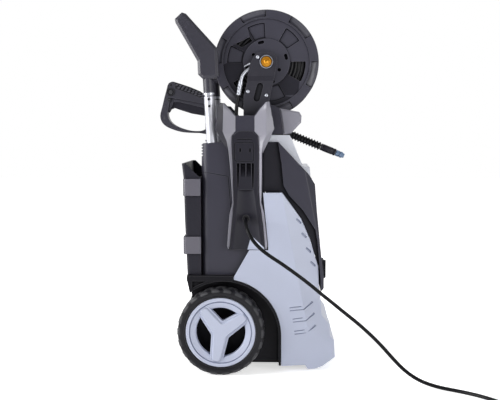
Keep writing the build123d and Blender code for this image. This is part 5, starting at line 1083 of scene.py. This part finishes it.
class WASHER_OT_wound_hose(bpy.types.Operator):
    """Wind the high-pressure hose on the drum, turn beside turn"""

    bl_idname = "washer.wound_hose"
    bl_label = "Wound hose"

    def execute(self, context):
        pitch = context.scene.washer_sizes.hose_diameter / MM
        half = FLANGE_OUT - FLANGE_WALL - HOSE_PLAY
        core = DRUM_R + CORE_PLAY
        layers = [core + (layer + 0.5) * pitch for layer in range(int((PACK_R - core) // pitch))]
        turns = int(2 * half // pitch)
        step = 2 * (half - pitch / 2) / (turns - 1)
        profile = [(-half + 2, DRUM_R + 0.7)]
        for radius in layers:
            profile += self.bump(-half + pitch * 0.55, radius, pitch, 270, 90)
        for turn in range(turns):
            profile += self.bump(-half + pitch / 2 + turn * step, PACK_R - pitch / 2 - 0.1, pitch, 180, 0)
        for radius in reversed(layers):
            profile += self.bump(half - pitch * 0.55, radius, pitch, 90, -90)
        profile.append((half - 2, DRUM_R + 0.7))
        centre = (REEL[0], 0, REEL[1])
        stand_for(lathe("wound_hose", profile, centre, (0, 1, 0), 72, "hose_rubber", 60.0), "hose_pack")
        return {"FINISHED"}

    def bump(self, along, radius, size, start, end):
        """Half a round of one turn, from one angle to another."""
        out = []
        for k in range(5):
            a = math.radians(start + (end - start) * (0.1 + 0.8 * k / 4))
            out.append((along + size / 2 * math.cos(a), radius + size / 2 * math.sin(a)))
        return out


class WASHER_OT_reel_mount(bpy.types.Operator):
    """Mould both bracket plates, set their screws, and turn the brass swivel with its plated ring and pipe"""

    bl_idname = "washer.reel_mount"
    bl_label = "Reel brackets and swivel"

    def execute(self, context):
        heads = []
        for sign, side in ((-1, "right"), (1, "left")):
            # a thin black plate behind the slot is painted shade: the view through the slot turns dark
            strip = plate("strip", SLOT_SHADE, sign * 94.6, sign * 96.2, 0.4, "soft_rubber", 1)
            moulding(f"reel_bracket_{side}", ["powder_coat"], 1.1, [strip])
            for x, z, out in SCREW_SPOTS:
                heads.append(lathe("screw", SCREW, (x, sign * out, z), (0, sign, 0), 20, "zinc_plate", 40.0))
        stand_for(joined("bracket_screws", heads), "machine_screws")
        face = (REEL[0], SWIVEL_FACE, REEL[1])
        ring = lathe("swivel_lock_ring", LOCK_RING, face, (0, -1, 0), 72, "zinc_plate", 40.0)
        stand_for(ring, "swivel_ring")
        centre = (REEL[0], 0, REEL[1])
        stand_for(lathe("swivel_core", SWIVEL, centre, (0, 1, 0), 60, "turned_brass", 40.0), "swivel_body")
        self.pipe()
        return {"FINISHED"}

    def pipe(self):
        """Bent feed pipe with its clip and its crimped ferrule."""
        bend = applied(tube("feed_pipe", [(x, PIPE_Y, z) for x, z in PIPE], 9.0, "zinc_plate"))
        crimp = [(0.0, 4.0), (0.6, 5.4), (4.0, 6.0), (9.0, 6.0)]
        for k in range(3):
            at = 13.0 + k * 7.6
            crimp += [(at, 6.0), (at + 0.5, 5.6), (at + 3.0, 5.6), (at + 3.5, 6.0)]
        crimp += [(35.6, 6.0), (37.3, 5.2)]
        ferrule = lathe("ferrule", crimp, (-24.4, PIPE_Y, 742), (-6.5, 0, -37), 32, "zinc_plate", 40.0)
        clip = plate("pipe_clip", PIPE_CLIP, -93.0, -91.0, 0.5, "zinc_plate")
        stand_for(joined("feed_pipe_and_ferrule", [bend, ferrule, clip]), "feed_elbow")


# ------------------------------------------------------------------ hose end
HOSE_ROOT = Vector((94.0, -20.0, 609.0))
HOSE_FALL = math.radians(22)
HOSE_WAY = Vector((math.cos(HOSE_FALL), 0.0, -math.sin(HOSE_FALL)))
RIBS = 12
RELIEF = 96.0         # length of the ribbed bend relief
BARREL_START = 96.3
COUPLING_START = 138.6
# profiles of the hose end's turned pieces: along, radius
RELIEF_CORE = [(0.3, 8.6), (95.6, 8.0)]
RIB = [(0.8, 7.6), (1.0, 10.2), (1.6, 11.0), (4.2, 11.0), (4.8, 10.2), (5.0, 7.6)]
BARREL = [
    (0.2, 8.0), (0.6, 9.0), (2.4, 9.4), (4.0, 8.8), (5.2, 8.8), (6.6, 9.4), (33.0, 9.3), (34.2, 8.6),
    (35.6, 8.6), (36.8, 9.4), (40.6, 9.3), (41.7, 8.4),
]
COUPLING = [
    (0.2, 7.4), (0.8, 8.3), (9.0, 8.3), (9.8, 7.3), (11.2, 7.3), (12.0, 8.3), (17.5, 8.2), (18.4, 6.8),
    (20.4, 6.6), (21.0, 6.0), (23.6, 5.9), (23.8, 3.6), (16.5, 3.5), (16.4, 0.0),
]


class WASHER_OT_hose_end(bpy.types.Operator):
    """Make the hose's ribbed bend relief, its barrel and its blue-grey coupling"""

    bl_idname = "washer.hose_end"
    bl_label = "Hose end"

    def execute(self, context):
        rib = lathe("rib", RIB, HOSE_ROOT, HOSE_WAY, 32, "hose_rubber", 50.0)
        ribs = row_of("relief_ribs", rib, RIBS, HOSE_WAY * 0.4, HOSE_WAY * (RELIEF / RIBS), "hose_rubber")
        core = lathe("relief_core", RELIEF_CORE, HOSE_ROOT, HOSE_WAY, 32, "hose_rubber")
        stand_for(joined("hose_end_relief", [core, ribs]), "hose_bend_relief")
        for name, profile, start, look, node in (
            ("hose_end_barrel", BARREL, BARREL_START, "black_pp", "hose_barrel"),
            ("hose_end_coupling", COUPLING, COUPLING_START, "blue_nylon", "hose_nozzle"),
        ):
            made = lathe(name, profile, HOSE_ROOT + HOSE_WAY * start, HOSE_WAY, 40, look, 40.0)
            stand_for(made, node)
        return {"FINISHED"}


# ------------------------------------------------------------------ handle and gun
TUBE_FOOT = (-97.0, 583.0)
TUBE_Y = 111.0
TUBE_R = 13.5
TUBE_TILT = math.radians(3.4)
TUBE_MOUTH = 702.0
CATCHES = (693.6, 676.0)
CATCH_SINK = 1.2      # depth of the hole's foot under the tube's outside
CATCH = [(-1.0, 3.4), (1.2, 3.4), (1.3, 2.6), (0.3, 2.3), (0.2, 0.0)]
WIPER_IN, WIPER_OUT = TUBE_R - 0.6, TUBE_R + 0.15
WIPER = [(-1.6, WIPER_IN), (-1.6, WIPER_OUT), (0.6, WIPER_OUT), (0.6, WIPER_IN), (-1.6, WIPER_IN)]
GUN_SIDE = 16.0
PAD_SIDE = 16.7
PAD_DEPTH = (-0.6, 1.4)  # of a block, inside and outside the pad's side
WEB_DEPTH = (10.2, 13.6)
PAD_ROWS = (
    ([(-197, 735.5), (-182, 731), (-161, 723.5), (-137, 713.5), (-129, 708)], 9),
    ([(-192, 728), (-179, 724), (-159, 716.5), (-137, 707), (-130, 702)], 8),
)
PAD_BLOCK = [(-4.4, -2.6), (1.6, -2.6), (4.4, 2.6), (-1.6, 2.6)]
# outline of the webs beside the trigger, inside the finger loop
WEB = [
    (-227, 704), (-216, 707), (-128, 691), (-118, 685), (-118, 671), (-130, 676), (-190, 690), (-207, 690),
    (-212, 677), (-219, 664), (-228, 660),
]
BIG_BOSS = [
    (-2.0, 11.0), (0.9, 11.0), (1.5, 10.2), (1.4, 8.4), (-0.8, 7.6), (-0.8, 6.0), (0.8, 5.4), (1.2, 3.6),
    (0.6, 0.0),
]
SMALL_BOSS = [(-2.0, 5.4), (0.5, 5.4), (0.9, 4.6), (0.7, 3.2), (-0.8, 2.8), (-0.8, 0.0)]
SUNK_SCREW = [(-2.0, 3.0), (0.3, 3.0), (0.4, 2.4), (-0.7, 2.0), (-0.7, 0.0)]
BOSSES = (
    (BIG_BOSS, -214, 717), (SMALL_BOSS, -218.5, 697), (SUNK_SCREW, -212.5, 735), (SUNK_SCREW, -230, 648),
)


def on_tube(height):
    """X of the handle tubes' middle line at a height: they lean back."""
    return TUBE_FOOT[0] - (height - TUBE_FOOT[1]) * math.tan(TUBE_TILT)


class WASHER_OT_handle(bpy.types.Operator):
    """Mould the handle grip, set catches in the holes of the lower tubes and close their mouths"""

    bl_idname = "washer.handle"
    bl_label = "Handle"

    def execute(self, context):
        moulding("handle_grip", ["grip_pa"], 1.4, angle=20.0, planar=0.4)
        extra = []
        along = (-math.sin(TUBE_TILT), 0, math.cos(TUBE_TILT))
        for sign in (-1, 1):
            for height in CATCHES:
                spot = (on_tube(height), sign * (TUBE_Y + TUBE_R - CATCH_SINK), height)
                extra.append(lathe("catch", CATCH, spot, (0, sign, 0), 24, "soft_rubber", 40.0))
            # a rubber wiper closes the mouth of the tube under the bright ring
            mouth = (on_tube(TUBE_MOUTH), sign * TUBE_Y, TUBE_MOUTH)
            extra.append(lathe("wiper", WIPER, mouth, along, 48, "soft_rubber", 40.0))
        moulding("handle_tubes", ["tube_aluminium"], 0.4, extra)
        return {"FINISHED"}


class WASHER_OT_gun(bpy.types.Operator):
    """Mould the spray gun with its trigger, and its rubber pad with two rows of raised blocks"""

    bl_idname = "washer.gun"
    bl_label = "Spray gun"

    def execute(self, context):
        extra = []
        for sign in (-1, 1):
            inner, outer = (sign * depth for depth in WEB_DEPTH)
            extra.append(plate("web", rounded(WEB, 2.0), inner, outer, 0.6, "grip_pa", 1))
            for profile, x, z in BOSSES:
                spot = (x, sign * GUN_SIDE, z)
                extra.append(lathe("boss", profile, spot, (0, sign, 0), 36, "soft_rubber", 40.0))
        moulding("gun_body", ["grip_pa"], 1.6, extra)
        moulding("trigger", ["black_pp"], 1.2)
        rows = [self.row(sign, points, count) for points, count in PAD_ROWS for sign in (-1, 1)]
        moulding("gun_pad", ["soft_rubber"], 1.2, rows)
        return {"FINISHED"}

    def row(self, sign, points, count):
        """One row of raised diagonal blocks along the pad's flank."""
        inner, outer = (sign * (PAD_SIDE + depth) for depth in PAD_DEPTH)
        block = plate("block", PAD_BLOCK, inner, outer, 0.5, "grip_pa", 1)
        return along_line("pad_blocks", block, points, count, "grip_pa")


# ------------------------------------------------------------------ finishes of the CAD nodes that stay
STAYING = {
    "charcoal_abs": ["lance_socket"],
    "black_pp": ["switch_box", "power_knob", "capacitor"],
    "hose_rubber": ["hose_lead", "feed_hose", "cord_relief"],
    "soft_rubber": ["foot_pads"],
    "tube_aluminium": ["handle_inner_tubes"],
    "zinc_plate": ["plug_pins", "grip_rings"],
    "turned_steel": ["axle", "gun_lance"],
    "turned_brass": ["unloader_valve"],
    "motor_paint": ["motor_can", "motor_rotor"],
    "cast_aluminium": ["gearbox_case", "pump_block"],
    "blue_nylon": ["water_inlet"],
}


class WASHER_OT_finishes(bpy.types.Operator):
    """Give every CAD node that stays in view its finish"""

    bl_idname = "washer.finishes"
    bl_label = "Finishes of the plain pieces"

    def execute(self, context):
        for look, names in STAYING.items():
            for name in names:
                materials = CAD[name].data.materials
                materials.clear()
                materials.append(finish(look))
        return {"FINISHED"}


# ------------------------------------------------------------------ panel and registration
OPERATORS = [
    WASHER_OT_stage, WASHER_OT_power_cord, WASHER_OT_housings, WASHER_OT_bin, WASHER_OT_side_frames,
    WASHER_OT_wheels, WASHER_OT_reel, WASHER_OT_wound_hose, WASHER_OT_reel_mount, WASHER_OT_hose_end,
    WASHER_OT_handle, WASHER_OT_gun, WASHER_OT_finishes,
]
GROUPS = [("washer_studio", WasherStudio), ("washer_sizes", WasherSizes), ("washer_colours", WasherColours)]


class WASHER_PT_panel(bpy.types.Panel):
    """Lists the machine's pieces, in the order in which they are made"""

    bl_label = "Pressure washer"
    bl_idname = "WASHER_PT_panel"
    bl_space_type = "VIEW_3D"
    bl_region_type = "UI"
    bl_category = "Washer"

    def draw(self, context):
        column = self.layout.column(align=True)
        for operator in OPERATORS:
            column.operator(operator.bl_idname)
        for name, group in GROUPS:
            box = self.layout.box()
            for key in group.__annotations__:
                box.prop(getattr(context.scene, name), key)


def register():
    for name, group in GROUPS:
        bpy.utils.register_class(group)
        setattr(bpy.types.Scene, name, bpy.props.PointerProperty(type=group))
    for operator in OPERATORS:
        bpy.utils.register_class(operator)
    bpy.utils.register_class(WASHER_PT_panel)


def unregister():
    bpy.utils.unregister_class(WASHER_PT_panel)
    for operator in reversed(OPERATORS):
        bpy.utils.unregister_class(operator)
    for name, group in reversed(GROUPS):
        delattr(bpy.types.Scene, name)
        bpy.utils.unregister_class(group)


def main():
    """Make every piece in order."""
    register()
    for operator in OPERATORS:
        group, name = operator.bl_idname.split(".")
        getattr(getattr(bpy.ops, group), name)()


if __name__ == "__main__":
    main()
